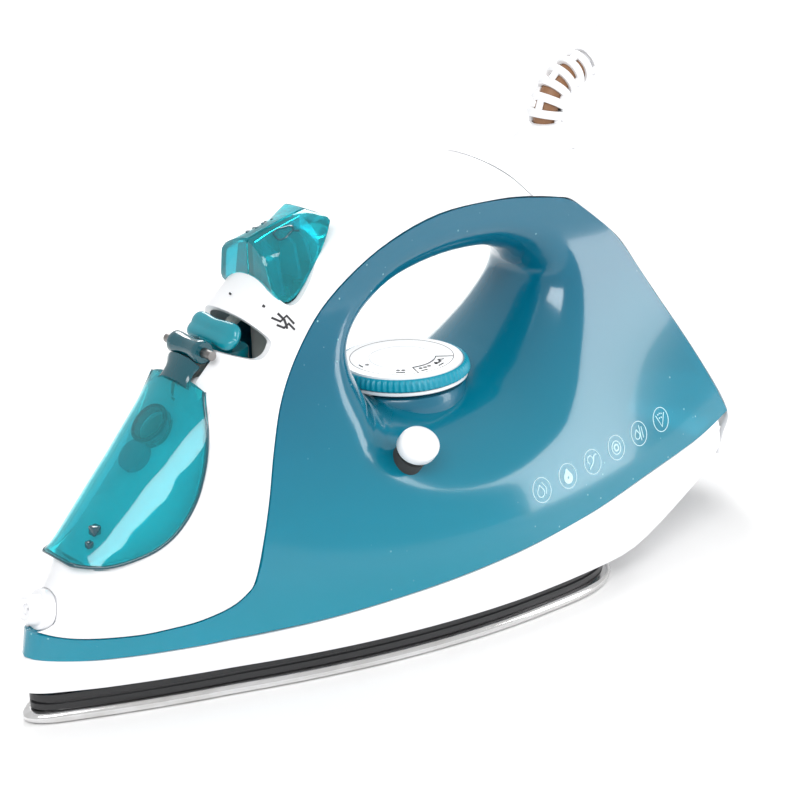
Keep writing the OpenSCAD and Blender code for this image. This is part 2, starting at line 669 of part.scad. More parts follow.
// Stations of the sleeve: [centre, tilt, outer radius, inner radius]
guard_stations = concat(
    [[[swivel_x, 0, 143.02], 0, 6, cord_r]],
    [for (k = [0:6]) let (a = bend_angle * k / 6)
        [[swivel_x + bend_r * (1 - cos(a)), 0, bend_z + bend_r * sin(a)], a, 6, cord_r - (k == 6 ? 0.3 : 0)]],
    [for (q = [[guard_run, 6, cord_r - 0.3], [guard_run + 4, 7.1, 5.4], [guard_run + bell_len, 9, 7.8]])
        [guard_end + q[0] * [sin(bend_angle), 0, cos(bend_angle)], bend_angle, q[1], q[2]]]);
function guard_ring(s, r, sides) = [for (k = [0:sides - 1])
    let (u = r * cos(360 * k / sides), v = r * sin(360 * k / sides))
    s[0] + [u * cos(s[1]), -v, -u * sin(s[1])]];
module cord_guard() {
    n = len(guard_stations);
    color("white") difference() {
        loft(concat([for (s = guard_stations) guard_ring(s, s[2], 20)],
            [for (k = [n - 1:-1:0]) guard_ring(guard_stations[k], guard_stations[k][3], 20)]), true);
        translate(guard_end) rotate([0, bend_angle, 0]) translate([0, 0, 0.5])
            cylinder(r = cord_r, h = guard_run + 1);
    }
}

// ---- fasteners ----
module screw(r_head, h_head, r_body, l) {
    difference() {
        union() {
            cylinder(r = r_head, h = h_head);
            translate([0, 0, -l]) cylinder(r = r_body, h = l + eps);
        }
        for (a = [0, 90]) rotate([0, 0, a]) translate([-r_head * 0.6, -0.4, h_head - 0.8])
            cube([r_head * 1.2, 0.8, 2]);
    }
}
module casting_screws() {
    color("silver") for (p = screw_places) translate([p[0], p[1], 11.9]) screw(3, 2, 1.7, 5.9);
}
module skirt_screws() {
    color("silver") for (s = [-1, 1]) translate([90, s * 26, 16.9])
        rotate([180, 0, 0]) screw(2.8, 2, 1.5, 5);
}
module clamp_screws() {
    color("silver") for (s = [-1, 1]) translate([clamp_c[0], s * 10, clamp_c[2] + 2.4])
        screw(2.6, 1.8, 1.6, 8);
}
module rear_cover_screw() {
    color("silver") translate(rear_boss) rotate([0, rear_boss_tilt, 0])
        translate([0, 0, 11.5]) screw(3, 2, 1.7, 11);
}

soleplate();
heater_cover();
steam_casting();
heating_element();
chamber_cover();
chamber_gasket();
skirt();
water_tank();
top_shell();
rear_cover();
spray_nozzle();
nozzle_tip();
fill_door();
door_hinge_pin();
fill_funnel();
fill_plug();
steam_lever();
valve_rod();
valve_spring();
valve_seat();
spray_button();
burst_button();
pump_block();
spray_piston();
burst_piston();
spray_spring();
burst_spring();
spray_hose();
burst_tube();
dial_cap();
dial_ring();
dial_under_ring();
dial_shaft();
dial_boss();
thermostat();
thermal_fuse();
self_clean_button();
self_clean_housing();
self_clean_spring();
terminal_block();
mains_leads();
cord_clamp();
swivel_socket();
swivel_ball();
cord_guard();
casting_screws();
skirt_screws();
clamp_screws();
rear_cover_screw();
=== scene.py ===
"""Steam iron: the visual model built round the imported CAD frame."""
import json
import math
import bmesh
import bpy
from mathutils import Matrix, Vector


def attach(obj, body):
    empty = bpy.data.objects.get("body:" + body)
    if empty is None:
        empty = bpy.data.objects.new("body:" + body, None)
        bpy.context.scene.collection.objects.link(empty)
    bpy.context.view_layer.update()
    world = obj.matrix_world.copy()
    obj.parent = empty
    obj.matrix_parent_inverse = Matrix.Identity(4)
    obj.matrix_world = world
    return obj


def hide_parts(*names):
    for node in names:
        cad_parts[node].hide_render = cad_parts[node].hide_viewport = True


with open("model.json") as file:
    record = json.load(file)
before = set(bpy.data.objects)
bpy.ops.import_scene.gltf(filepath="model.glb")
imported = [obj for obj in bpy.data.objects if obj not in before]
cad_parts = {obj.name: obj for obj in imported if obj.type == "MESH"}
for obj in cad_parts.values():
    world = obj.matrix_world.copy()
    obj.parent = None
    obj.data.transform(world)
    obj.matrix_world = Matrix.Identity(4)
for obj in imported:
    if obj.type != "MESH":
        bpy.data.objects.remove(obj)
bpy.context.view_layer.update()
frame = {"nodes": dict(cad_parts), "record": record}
MM = 0.001

# ---------------------------------------------------------------- driving dimensions, in mm
NOSE_X = -151.0
WIDE_X = 14.0
BODY_HALF_W = 52.6
GRIP_HALF_W = 17.5
SHELL_T = 2.2
TANK_T = 2.0
SOLE_TIP_X = -151.0
SOLE_LEN = 221.0
SOLE_HALF_W = 52.0
DIAL_X = 3.0
DIAL_Z = 75.5
HINGE = (-81.0, 106.0)
LEVER_X = -66.0
PUMP_X = -44.0
SWIVEL_X = 68.0
CLEAN_POS = Vector((-24.5, -37.2, 64.8))
CLEAN_TILT = math.radians(42)
NOZZLE_BASE = Vector((-126, 0, 30.5))
NOZZLE_TILT = math.radians(-71.8)
BEND_Z = 149.0
BEND_R = 16.0
BEND_ANGLE = math.radians(71)

# ---------------------------------------------------------------- camera
CAM_TARGET = Vector((1.7, 0, 66.8)) * MM
CAM_DIST = 0.9
CAM_SIDE = math.radians(38.5)
CAM_UP = math.radians(20.5)
CAM_ROLL = math.radians(-1.95)


def make_camera():
    back = Vector((-math.sin(CAM_SIDE) * math.cos(CAM_UP), -math.cos(CAM_SIDE) * math.cos(CAM_UP), math.sin(CAM_UP)))
    right = Vector((math.cos(CAM_SIDE), -math.sin(CAM_SIDE), 0))
    up = back.cross(right)
    r2 = math.cos(CAM_ROLL) * right + math.sin(CAM_ROLL) * up
    u2 = -math.sin(CAM_ROLL) * right + math.cos(CAM_ROLL) * up
    data = bpy.data.cameras.new("camera")
    data.lens = 121.5
    data.sensor_width = 36
    cam = bpy.data.objects.new("camera", data)
    rot = Matrix((r2, u2, back)).transposed().to_4x4()
    cam.matrix_world = Matrix.Translation(CAM_TARGET + back * CAM_DIST) @ rot
    bpy.context.scene.collection.objects.link(cam)
    bpy.context.scene.camera = cam


# ---------------------------------------------------------------- curves and the outer skin
def spline(points, steps, closed=False):
    """Catmull-Rom through rows of numbers."""
    n = len(points)
    out = []
    for i in range(n if closed else n - 1):
        p0 = points[(i - 1) % n] if closed else points[max(i - 1, 0)]
        p1 = points[i]
        p2 = points[(i + 1) % n]
        p3 = points[(i + 2) % n] if closed else points[min(i + 2, n - 1)]
        for k in range(steps):
            t = k / steps
            out.append([0.5 * (2 * b + (c - a) * t + (2 * a - 5 * b + 4 * c - d) * t * t
                               + (3 * b - a - 3 * c + d) * t ** 3) for a, b, c, d in zip(p0, p1, p2, p3)])
    if not closed:
        out.append(list(points[-1]))
    return out


def blunt_nose(a):
    """Extra half width that rounds the nose, at a distance a behind the tip."""
    a = max(a, 0)
    return 4 * math.sqrt(max(1 - (1 - min(a / 7, 1)) ** 2, 0)) * max(1 - a / 60, 0)


def plan_w(x):
    """Half width of the plan outline."""
    a = x - NOSE_X
    reach = WIDE_X - NOSE_X
    if a > reach:
        return BODY_HALF_W - 22 * ((a - reach) / 135) ** 1.8
    a = max(a, 0)
    return BODY_HALF_W * (1 - (1 - a / reach) ** 1.85) + blunt_nose(a)


def body_w(x, z):
    """Half width of the skin at a point of the side view."""
    lean = max(z - 12, 0) * 0.24
    fall = max(1 - (x - NOSE_X) / 40, 0)
    b = plan_w(x - lean * fall * fall)
    t = min(max((z - 27) / 93, 0), 1)
    g = min(GRIP_HALF_W, b)
    return g + (b - g) * (1 - t * t * (3 - 2 * t))


def round_off(d, r, n=2.2):
    return 1.0 if d >= r else (1 - (1 - max(d, 0) / r) ** n) ** (1 / n)


def side_path(b, o, r, t, n, inset=0.0, start=0.0):
    """Points (x, half width, z) from the seam b to the outline o, at depth t under the skin."""
    dx, dz = o[0] - b[0], o[1] - b[1]
    full = math.hypot(dx, dz)
    length = max(full - t - inset, 0.5)
    ux, uz = dx / full, dz / full
    pts = []
    for j in range(n + 1):
        s = start + (length - start) * math.sin(math.pi / 2 * j / n)
        x, z = b[0] + ux * s, b[1] + uz * s
        w = max(body_w(x, z) - t - inset, 0.4) * round_off(length - s, max(r - t, 1))
        pts.append((x, w, z))
    return pts


def wall_ring(b, o, r, t, n, inset=0.0, lip=0.5):
    """Closed loop round a C-shaped wall: outside, rounded lips and inside."""
    outer = side_path(b, o, r, 0, n, inset, start=lip)
    inner = side_path(b, o, r, t, n)
    x0, w0, z0 = side_path(b, o, r, 0, 1, inset)[0]
    ux, uz = o[0] - b[0], o[1] - b[1]
    full = math.hypot(ux, uz)
    ux, uz = ux / full, uz / full
    arc = []
    for a in (0.5, 1.0):
        s = lip * (1 - math.sin(a * math.pi / 2))
        arc.append((x0 + ux * s, w0 - lip * (1 - math.cos(a * math.pi / 2)), z0 + uz * s))
    left = [(x, -w, z) for x, w, z in reversed(arc)] + [(x, -w, z) for x, w, z in outer]
    right = [(x, w, z) for x, w, z in reversed(outer[:-1])] + list(arc)
    back = [(x, w, z) for x, w, z in inner] + [(x, -w, z) for x, w, z in reversed(inner[:-1])]
    return left + right + back


# ---------------------------------------------------------------- mesh helpers
def new_object(name, verts, faces, smooth=35, scale=MM):
    mesh = bpy.data.meshes.new(name)
    mesh.from_pydata([Vector(v) * scale for v in verts], [], faces)
    obj = bpy.data.objects.new(name, mesh)
    bpy.context.scene.collection.objects.link(obj)
    tidy(obj, smooth)
    return obj


def tidy(obj, smooth=35):
    bm = bmesh.new()
    bm.from_mesh(obj.data)
    bmesh.ops.remove_doubles(bm, verts=bm.verts, dist=1e-6)
    bmesh.ops.recalc_face_normals(bm, faces=bm.faces)
    bm.to_mesh(obj.data)
    bm.free()
    obj.data.polygons.foreach_set("use_smooth", [True] * len(obj.data.polygons))
    obj.data.set_sharp_from_angle(angle=math.radians(smooth))


def loft(name, rings, closed=False, cap="strip", smooth=35):
    """Skins closed loops of points; ends are capped as a strip for walls or a fan for solids."""
    m = len(rings[0])
    n = len(rings)
    verts = [p for r in rings for p in r]
    faces = []
    for i in range(n if closed else n - 1):
        c = ((i + 1) % n) * m
        for j in range(m):
            k = (j + 1) % m
            faces.append((i * m + j, i * m + k, c + k, c + j))
    if not closed and cap == "strip":
        for e in (0, (n - 1) * m):
            for j in range(m // 2 - 1):
                faces.append((e + j, e + m - 1 - j, e + m - 2 - j, e + j + 1))
    elif not closed and cap == "fan":
        for e in (0, (n - 1) * m):
            faces.append(tuple(range(e, e + m)))
    return new_object(name, verts, faces, smooth)


def apply_modifiers(obj, smooth=35):
    graph = bpy.context.evaluated_depsgraph_get()
    mesh = bpy.data.meshes.new_from_object(obj.evaluated_get(graph))
    obj.modifiers.clear()
    obj.data = mesh
    tidy(obj, smooth)


def boolean(obj, other, operation="DIFFERENCE", smooth=35):
    mod = obj.modifiers.new("bool", "BOOLEAN")
    mod.object = other
    mod.operation = operation
    mod.solver = "EXACT"
    apply_modifiers(obj, smooth)
    bpy.data.objects.remove(other)


def bevel(obj, width, segments=2, angle=40, smooth=35):
    mod = obj.modifiers.new("bevel", "BEVEL")
    mod.width = width * MM
    mod.segments = segments
    mod.limit_method = "ANGLE"
    mod.angle_limit = math.radians(angle)
    apply_modifiers(obj, smooth)


def prism(name, outline, y0, y1):
    """Side-view outline (x, z) extruded between y0 and y1."""
    n = len(outline)
    verts = [(x, y0, z) for x, z in outline] + [(x, y1, z) for x, z in outline]
    faces = [tuple(range(n)), tuple(range(2 * n - 1, n - 1, -1))]
    faces += [(i, (i + 1) % n, n + (i + 1) % n, n + i) for i in range(n)]
    return new_object(name, verts, faces)


def lathe(name, profile, steps=64, place=None, smooth=35):
    """Turns (radius, height) pairs round Z. The profile is closed if it ends off the axis."""
    verts, faces, rows = [], [], []
    for r, h in profile:
        if r < 1e-6:
            rows.append([len(verts)])
            verts.append(Vector((0, 0, h)))
        else:
            rows.append([len(verts) + k for k in range(steps)])
            for k in range(steps):
                a = 2 * math.pi * k / steps
                verts.append(Vector((r * math.cos(a), r * math.sin(a), h)))
    pairs = list(zip(rows, rows[1:]))
    if len(rows[0]) > 1 and len(rows[-1]) > 1:
        pairs.append((rows[-1], rows[0]))
    for p, q in pairs:
        for k in range(steps):
            j = (k + 1) % steps
            if len(p) == 1 and len(q) > 1:
                faces.append((p[0], q[k], q[j]))
            elif len(q) == 1 and len(p) > 1:
                faces.append((p[k], q[0], p[j]))
            elif len(p) > 1:
                faces.append((p[k], p[j], q[j], q[k]))
    if place is not None:
        verts = [place @ v for v in verts]
    return new_object(name, verts, faces, smooth)


def sweep_tube(name, path, radius, sides=12, closed=False):
    """Round tube along points; radius may be a list."""
    pts = [Vector(p) for p in path]
    n = len(pts)
    rings = []
    h = None
    for i, p in enumerate(pts):
        a = pts[(i - 1) % n] if closed else pts[max(i - 1, 0)]
        b = pts[(i + 1) % n] if closed else pts[min(i + 1, n - 1)]
        t = (b - a).normalized()
        if h is None:
            h = t.orthogonal().normalized()
        h = (h - t * h.dot(t)).normalized()
        g = t.cross(h)
        r = radius[i] if isinstance(radius, (list, tuple)) else radius
        rings.append([p + r * (h * math.cos(2 * math.pi * k / sides) + g * math.sin(2 * math.pi * k / sides))
                      for k in range(sides)])
    return loft(name, rings, closed=closed, cap="fan", smooth=50)


def join(name, objects, smooth=35):
    """Joins several objects into the first one."""
    base = objects[0]
    bm = bmesh.new()
    for o in objects:
        bm.from_mesh(o.data)
    bm.to_mesh(base.data)
    bm.free()
    base.data.update()
    for o in objects[1:]:
        bpy.data.objects.remove(o)
    base.name = name
    base.data.polygons.foreach_set("use_smooth", [True] * len(base.data.polygons))
    base.data.set_sharp_from_angle(angle=math.radians(smooth))
    return base


# ---------------------------------------------------------------- materials
def new_material(name):
    mat = bpy.data.materials.new(name)
    mat.use_nodes = True
    nodes = mat.node_tree.nodes
    links = mat.node_tree.links
    return mat, nodes, links, nodes["Principled BSDF"]


def node(nodes, kind, **values):
    n = nodes.new(kind)
    for key, v in values.items():
        if key in n.inputs:
            n.inputs[key].default_value = v
        else:
            setattr(n, key, v)
    return n


def moulded_plastic(name, light, dark, rough=0.3, grain=0.02, coat=0.0, mottling=6.0, **sockets):
    """Moulded plastic: slight colour drift, a fine spark-eroded grain and uneven polish."""
    mat, nodes, links, bsdf = new_material(name)
    coord = node(nodes, "ShaderNodeTexCoord")
    drift = node(nodes, "ShaderNodeTexNoise", Scale=mottling, Detail=3.0)
    fine = node(nodes, "ShaderNodeTexNoise", Scale=900.0, Detail=2.0)
    ramp = node(nodes, "ShaderNodeValToRGB")
    ramp.color_ramp.elements[0].position = 0.35
    ramp.color_ramp.elements[1].position = 0.65
    ramp.color_ramp.elements[0].color = (*dark, 1)
    ramp.color_ramp.elements[1].color = (*light, 1)
    polish = node(nodes, "ShaderNodeMapRange")
    polish.inputs["To Min"].default_value = rough * 0.85
    polish.inputs["To Max"].default_value = rough * 1.2
    bump = node(nodes, "ShaderNodeBump", Strength=grain, Distance=0.0002)
    links.new(coord.outputs["Object"], drift.inputs["Vector"])
    links.new(coord.outputs["Object"], fine.inputs["Vector"])
    links.new(drift.outputs["Fac"], ramp.inputs["Fac"])
    links.new(ramp.outputs["Color"], bsdf.inputs["Base Color"])
    links.new(drift.outputs["Fac"], polish.inputs["Value"])
    links.new(polish.outputs["Result"], bsdf.inputs["Roughness"])
    links.new(fine.outputs["Fac"], bump.inputs["Height"])
    links.new(bump.outputs["Normal"], bsdf.inputs["Normal"])
    bsdf.inputs["Coat Weight"].default_value = coat
    bsdf.inputs["Coat Roughness"].default_value = 0.05
    for key, v in sockets.items():
        bsdf.inputs[key.replace("_", " ")].default_value = v
    return mat


def metal(name, light, dark, rough, stretch=(1, 1, 1), scale=40.0, bump_strength=0.05):
    """Metal with directional polishing marks."""
    mat, nodes, links, bsdf = new_material(name)
    coord = node(nodes, "ShaderNodeTexCoord")
    mapping = node(nodes, "ShaderNodeMapping")
    mapping.inputs["Scale"].default_value = stretch
    marks = node(nodes, "ShaderNodeTexNoise", Scale=scale, Detail=6.0)
    ramp = node(nodes, "ShaderNodeValToRGB")
    ramp.color_ramp.elements[0].position = 0.3
    ramp.color_ramp.elements[1].position = 0.7
    ramp.color_ramp.elements[0].color = (*dark, 1)
    ramp.color_ramp.elements[1].color = (*light, 1)
    polish = node(nodes, "ShaderNodeMapRange")
    polish.inputs["To Min"].default_value = rough * 0.7
    polish.inputs["To Max"].default_value = rough * 1.4
    bump = node(nodes, "ShaderNodeBump", Strength=bump_strength, Distance=0.0002)
    links.new(coord.outputs["Object"], mapping.inputs["Vector"])
    links.new(mapping.outputs["Vector"], marks.inputs["Vector"])
    links.new(marks.outputs["Fac"], ramp.inputs["Fac"])
    links.new(ramp.outputs["Color"], bsdf.inputs["Base Color"])
    links.new(marks.outputs["Fac"], polish.inputs["Value"])
    links.new(polish.outputs["Result"], bsdf.inputs["Roughness"])
    links.new(marks.outputs["Fac"], bump.inputs["Height"])
    links.new(bump.outputs["Normal"], bsdf.inputs["Normal"])
    bsdf.inputs["Metallic"].default_value = 1.0
    return mat


def clear_plastic(name, thin, deep, rough=0.04, transmission=0.85):
    """Tinted clear plastic with faint flow marks from the mould gate."""
    mat, nodes, links, bsdf = new_material(name)
    coord = node(nodes, "ShaderNodeTexCoord")
    flow = node(nodes, "ShaderNodeTexNoise", Scale=22.0, Detail=2.0, Distortion=1.2)
    ramp = node(nodes, "ShaderNodeValToRGB")
    ramp.color_ramp.elements[0].position = 0.3
    ramp.color_ramp.elements[1].position = 0.75
    ramp.color_ramp.elements[0].color = (*deep, 1)
    ramp.color_ramp.elements[1].color = (*thin, 1)
    bump = node(nodes, "ShaderNodeBump", Strength=0.03, Distance=0.0005)
    links.new(coord.outputs["Object"], flow.inputs["Vector"])
    links.new(flow.outputs["Fac"], ramp.inputs["Fac"])
    links.new(ramp.outputs["Color"], bsdf.inputs["Base Color"])
    links.new(flow.outputs["Fac"], bump.inputs["Height"])
    links.new(bump.outputs["Normal"], bsdf.inputs["Normal"])
    bsdf.inputs["Roughness"].default_value = rough
    bsdf.inputs["IOR"].default_value = 1.45
    bsdf.inputs["Transmission Weight"].default_value = transmission
    return mat


WHITE = moulded_plastic("white_shell", (0.84, 0.845, 0.86), (0.80, 0.805, 0.825), rough=0.28, coat=0.25)
DIAL_WHITE = moulded_plastic("dial_white", (0.86, 0.86, 0.87), (0.82, 0.82, 0.83), rough=0.35, coat=0.1)
BLACK = moulded_plastic("black_band", (0.022, 0.022, 0.024), (0.012, 0.012, 0.013), rough=0.3, grain=0.06)
STEEL = metal("polished_steel", (0.86, 0.86, 0.87), (0.62, 0.61, 0.60), 0.14, (0.4, 6, 6), 30.0)
CAST = metal("cast_aluminium", (0.72, 0.72, 0.73), (0.55, 0.55, 0.57), 0.45, (1, 1, 1), 300.0, 0.3)
DARK_STEEL = metal("dark_steel", (0.32, 0.31, 0.30), (0.20, 0.19, 0.19), 0.4, (1, 4, 1), 120.0)
SPRING = metal("spring_steel", (0.74, 0.74, 0.76), (0.58, 0.58, 0.60), 0.25, (1, 1, 5), 200.0)
TEAL = moulded_plastic("teal_plastic", (0.0, 0.36, 0.45), (0.0, 0.26, 0.34), rough=0.22, coat=0.3,
                       Transmission_Weight=0.25)
CLEAR_TEAL = clear_plastic("clear_teal", (0.01, 0.74, 0.82), (0.0, 0.62, 0.72))
SEAL = moulded_plastic("silicone_red", (0.55, 0.12, 0.07), (0.45, 0.09, 0.06), rough=0.6, grain=0.1)
FROSTED = clear_plastic("frosted_clear", (0.72, 0.86, 0.88), (0.62, 0.80, 0.84), rough=0.4, transmission=0.7)
NYLON = moulded_plastic("natural_nylon", (0.82, 0.82, 0.77), (0.74, 0.74, 0.69), rough=0.4, grain=0.05)
RUBBER = moulded_plastic("piston_rubber", (0.05, 0.05, 0.05), (0.03, 0.03, 0.03), rough=0.7, grain=0.2)
PHENOLIC = moulded_plastic("brown_phenolic", (0.30, 0.15, 0.07), (0.22, 0.10, 0.05), rough=0.5, grain=0.1)
TEAL_EDGE = moulded_plastic("dark_teal_edge", (0.0, 0.12, 0.16), (0.0, 0.07, 0.10), rough=0.15, coat=0.4,
                            Transmission_Weight=0.3)
RING_TEAL = moulded_plastic("teal_grip", (0.0, 0.33, 0.45), (0.0, 0.25, 0.36), rough=0.35, grain=0.05)
FLOOR = moulded_plastic("studio_floor", (0.93, 0.93, 0.93), (0.92, 0.92, 0.92), rough=0.6, grain=0.0)
PRINT = moulded_plastic("printed_ink", (0.03, 0.03, 0.035), (0.02, 0.02, 0.02), rough=0.45, grain=0.05)
PALE_PRINT = moulded_plastic("pale_ink", (0.62, 0.84, 0.88), (0.55, 0.78, 0.84), rough=0.4, grain=0.05)


def tank_material(name, upper, lower, transmission, rough):
    """Smoky teal tank plastic with painted light in its colour: painted shade makes it darker towards the handle at the
    top, and painted light shining through makes it lighter towards the bottom; with specks of trapped air.
    """
    mat, nodes, links, bsdf = new_material(name)
    coord = node(nodes, "ShaderNodeTexCoord")
    split = node(nodes, "ShaderNodeSeparateXYZ")
    height = node(nodes, "ShaderNodeMapRange")
    height.inputs["From Min"].default_value = 0.02
    height.inputs["From Max"].default_value = 0.11
    drift = node(nodes, "ShaderNodeTexNoise", Scale=14.0, Detail=2.0)
    shift = node(nodes, "ShaderNodeMath", operation="MULTIPLY_ADD")
    shift.inputs[1].default_value = 0.25
    ramp = node(nodes, "ShaderNodeValToRGB")
    ramp.color_ramp.elements[0].color = (*lower, 1)
    ramp.color_ramp.elements[1].color = (*upper, 1)
    specks = node(nodes, "ShaderNodeTexVoronoi", Scale=240.0)
    dot = node(nodes, "ShaderNodeMapRange")
    dot.inputs["From Min"].default_value = 0.10
    dot.inputs["From Max"].default_value = 0.04
    where = node(nodes, "ShaderNodeTexNoise", Scale=18.0, Detail=1.0)
    patch = node(nodes, "ShaderNodeMapRange")
    patch.inputs["From Min"].default_value = 0.52
    patch.inputs["From Max"].default_value = 0.62
    both = node(nodes, "ShaderNodeMath", operation="MULTIPLY")
    mix = node(nodes, "ShaderNodeMix", data_type="RGBA")
    bump = node(nodes, "ShaderNodeBump", Strength=0.25, Distance=0.0003)
    links.new(coord.outputs["Object"], split.inputs[0])
    for tex in (drift, specks, where):
        links.new(coord.outputs["Object"], tex.inputs["Vector"])
    # Painted light: height picks the colour, the painted light shining through low down and the painted shade up top.
    links.new(split.outputs["Z"], height.inputs["Value"])
    links.new(drift.outputs["Fac"], shift.inputs[0])
    links.new(height.outputs["Result"], shift.inputs[2])
    links.new(shift.outputs[0], ramp.inputs["Fac"])
    links.new(specks.outputs["Distance"], dot.inputs["Value"])
    links.new(where.outputs["Fac"], patch.inputs["Value"])
    links.new(dot.outputs["Result"], both.inputs[0])
    links.new(patch.outputs["Result"], both.inputs[1])
    links.new(both.outputs[0], mix.inputs["Factor"])
    links.new(ramp.outputs["Color"], mix.inputs["A"])
    mix.inputs["B"].default_value = (0.35, 0.85, 0.92, 1)
    links.new(mix.outputs["Result"], bsdf.inputs["Base Color"])
    links.new(both.outputs[0], bump.inputs["Height"])
    links.new(bump.outputs["Normal"], bsdf.inputs["Normal"])
    bsdf.inputs["Roughness"].default_value = rough
    bsdf.inputs["IOR"].default_value = 1.45
    bsdf.inputs["Transmission Weight"].default_value = transmission
    bsdf.inputs["Coat Weight"].default_value = 0.4
    bsdf.inputs["Coat Roughness"].default_value = 0.04
    return mat


# The tank's upper colour is painted shade and its lower colour is painted light shining through the plastic.
TANK = tank_material("teal_tank", (0.0, 0.20, 0.33), (0.0, 0.40, 0.55), 0.45, 0.16)
# A darker copy of the tank plastic: painted shade for the wall inside the tank and for the drum under the dial.
TANK_SHADED_COPY = tank_material("teal_tank_shaded", (0.0, 0.13, 0.22), (0.0, 0.20, 0.32), 0.2, 0.3)


def finish_piece(obj, material, body, slot, *replaced):
    """Gives a piece its material and body and hides the CAD nodes it stands for; the slot argument is not used."""
    obj.data.materials.clear()
    obj.data.materials.append(material)
    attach(obj, body)
    if replaced:
        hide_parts(*replaced)
    return obj


# ---------------------------------------------------------------- soleplate group
def sole_w(x, d):
    tip = SOLE_TIP_X + 1.4 * d
    tail = SOLE_TIP_X + SOLE_LEN - d
    w = SOLE_HALF_W - d
    split = WIDE_X - 2
    if x < split:
        return w * (1 - (1 - max((x - tip) / (split - tip), 0)) ** 1.8) + blunt_nose(x - tip)
    return w * math.sqrt(max(1 - min((x - split) / (tail - split), 1) ** 4.5, 0))


def sole_outline(d, front=40, rear=26):
    """Closed plan outline of the soleplate moved inwards by d."""
    tip = SOLE_TIP_X + 1.4 * d
    tail = SOLE_TIP_X + SOLE_LEN - d
    split = WIDE_X - 2
    half = []
    for k in range(front + 1):
        x = tip + (split - tip) * (k / front) ** 1.6
        half.append((x, sole_w(x, d)))
    for k in range(1, rear + 1):
        x = split + (tail - split) * math.sin(math.pi / 2 * k / rear)
        half.append((x, sole_w(x, d)))
    return [(x, -y) for x, y in half] + [(x, y) for x, y in reversed(half[1:-1])]


def plan_band(name, profile, closed):
    """Sweeps a profile of (inset, z) round the soleplate outline; open profiles get filled ends."""
    loops = [[(x, y, z) for x, y in sole_outline(d)] for d, z in profile]
    m = len(loops[0])
    n = len(loops)
    verts = [p for loop in loops for p in loop]
    faces = []
    for i in range(n if closed else n - 1):
        c = ((i + 1) % n) * m
        faces += [(i * m + j, i * m + (j + 1) % m, c + (j + 1) % m, c + j) for j in range(m)]
    if not closed:
        faces += [tuple(range(m)), tuple(range((n - 1) * m, n * m))]
    return new_object(name, verts, faces)


VENTS = [(-96 + 18 * k, s * (16 + 2.9 * k)) for k in range(8) for s in (-1, 1)]
VENTS += [(-118, 0), (-110, 5), (-110, -5), (-102, 0)]


def make_soleplate():
    rim = [(2.2, 0), (1.2, 0.15), (0.45, 0.6), (0.05, 1.3), (0.05, 2.1), (0.45, 2.9), (1.2, 3.4), (2.2, 3.6),
           (5, 3.6)]
    plate = plan_band("soleplate_polished", rim, False)
    drills = [lathe("drill", [(0, -1), (3.2, -1), (3.2, -0.01), (1.6, 1.6), (1.6, 6), (0, 6)], 20,
                    Matrix.Translation((x, y, 0))) for x, y in VENTS]
    boolean(plate, join("drills", drills))
    return finish_piece(plate, STEEL, "base", "polished_steel", "soleplate")


def make_heater_cover():
    band = plan_band("heater_cover_band", [
        (4.4, 3.7), (2.7, 3.7), (2.3, 4.1), (2.3, 6.0), (2.9, 6.3), (2.9, 6.7), (2.3, 7.0), (2.3, 9.2), (4.4, 9.2)],
        True)
    return finish_piece(band, BLACK, "base", "black_band", "heater_cover")


# ---------------------------------------------------------------- skirt
SKIRT_TOP = [(-150, 21.7), (-130, 19.5), (-101, 19.1), (-71, 19.9), (-38, 22.3), (-0.5, 25.6), (45, 30.6),
             (71, 34.6), (101, 38.2), (119, 41.9)]
SKIRT_LOW = [(-151.5, 10.8), (-130, 10.1), (-60, 9.6), (0, 9.5), (50, 9.4), (58, 9.8), (65, 11.2), (80, 16),
             (98, 22.6), (107, 27.5), (112, 31), (119, 35)]


def height_at(table, x):
    """Smooth height from a table of (x, z)."""
    if x <= table[0][0]:
        return table[0][1]
    for i in range(len(table) - 1):
        if x <= table[i + 1][0]:
            a = table[max(i - 1, 0)][1]
            b, c = table[i][1], table[i + 1][1]
            d = table[min(i + 2, len(table) - 1)][1]
            t = (x - table[i][0]) / (table[i + 1][0] - table[i][0])
            return 0.5 * (2 * b + (c - a) * t + (2 * a - 5 * b + 4 * c - d) * t * t
                          + (3 * b - a - 3 * c + d) * t ** 3)
    return table[-1][1]


def make_skirt():
    rings = []
    steps = 70
    for k in range(-steps, steps + 1):
        u = abs(k) / steps
        side = -1 if k < 0 else 1
        x = NOSE_X + (113 - NOSE_X) * u ** 2
        lo, hi = height_at(SKIRT_LOW, x), height_at(SKIRT_TOP, x)
        ring = []
        rise = [(lo + 0.5, 0), (lo + (hi - lo) * 0.25, 0), (lo + (hi - lo) * 0.5, 0), (lo + (hi - lo) * 0.75, 0),
                (hi - 0.5, 0), (hi - 0.15, 0.15), (hi, 0.5), (hi, 2.4), (lo, 2.4), (lo, 0.5), (lo + 0.15, 0.15)]
        for z, depth in rise:
            lean = max(z - 12, 0) * 0.24 * max(1 - (x - NOSE_X) / 40, 0) ** 2
            xx = x + lean
            e = 0.4
            slope = (plan_w(x + e) - plan_w(max(x - e, NOSE_X))) / (2 * e) if u > 0 else 1e3
            w = body_w(xx, z) if u > 0 else 0.0
            nx, ny = slope, -1.0
            size = math.hypot(nx, ny)
            px, py = xx + depth * nx / size, w + depth * ny / size
            ring.append((px, side * max(py, 0) if k else 0.0, z))
        rings.append(ring)
    wall = loft("skirt_shell", rings, cap="fan")
    floor = []
    for x in [58 + 3.5 * i for i in range(16)]:
        w = plan_w(x) - 2.2
        z = height_at(SKIRT_LOW, x) + 0.6
        floor.append([(x, -w, z), (x, w, z), (x, w, z + 2), (x, -w, z + 2)])
    return finish_piece(join("skirt_shell", [wall, loft("floor", floor, cap="fan")]), WHITE, "base",
                        "white_shell", "skirt")


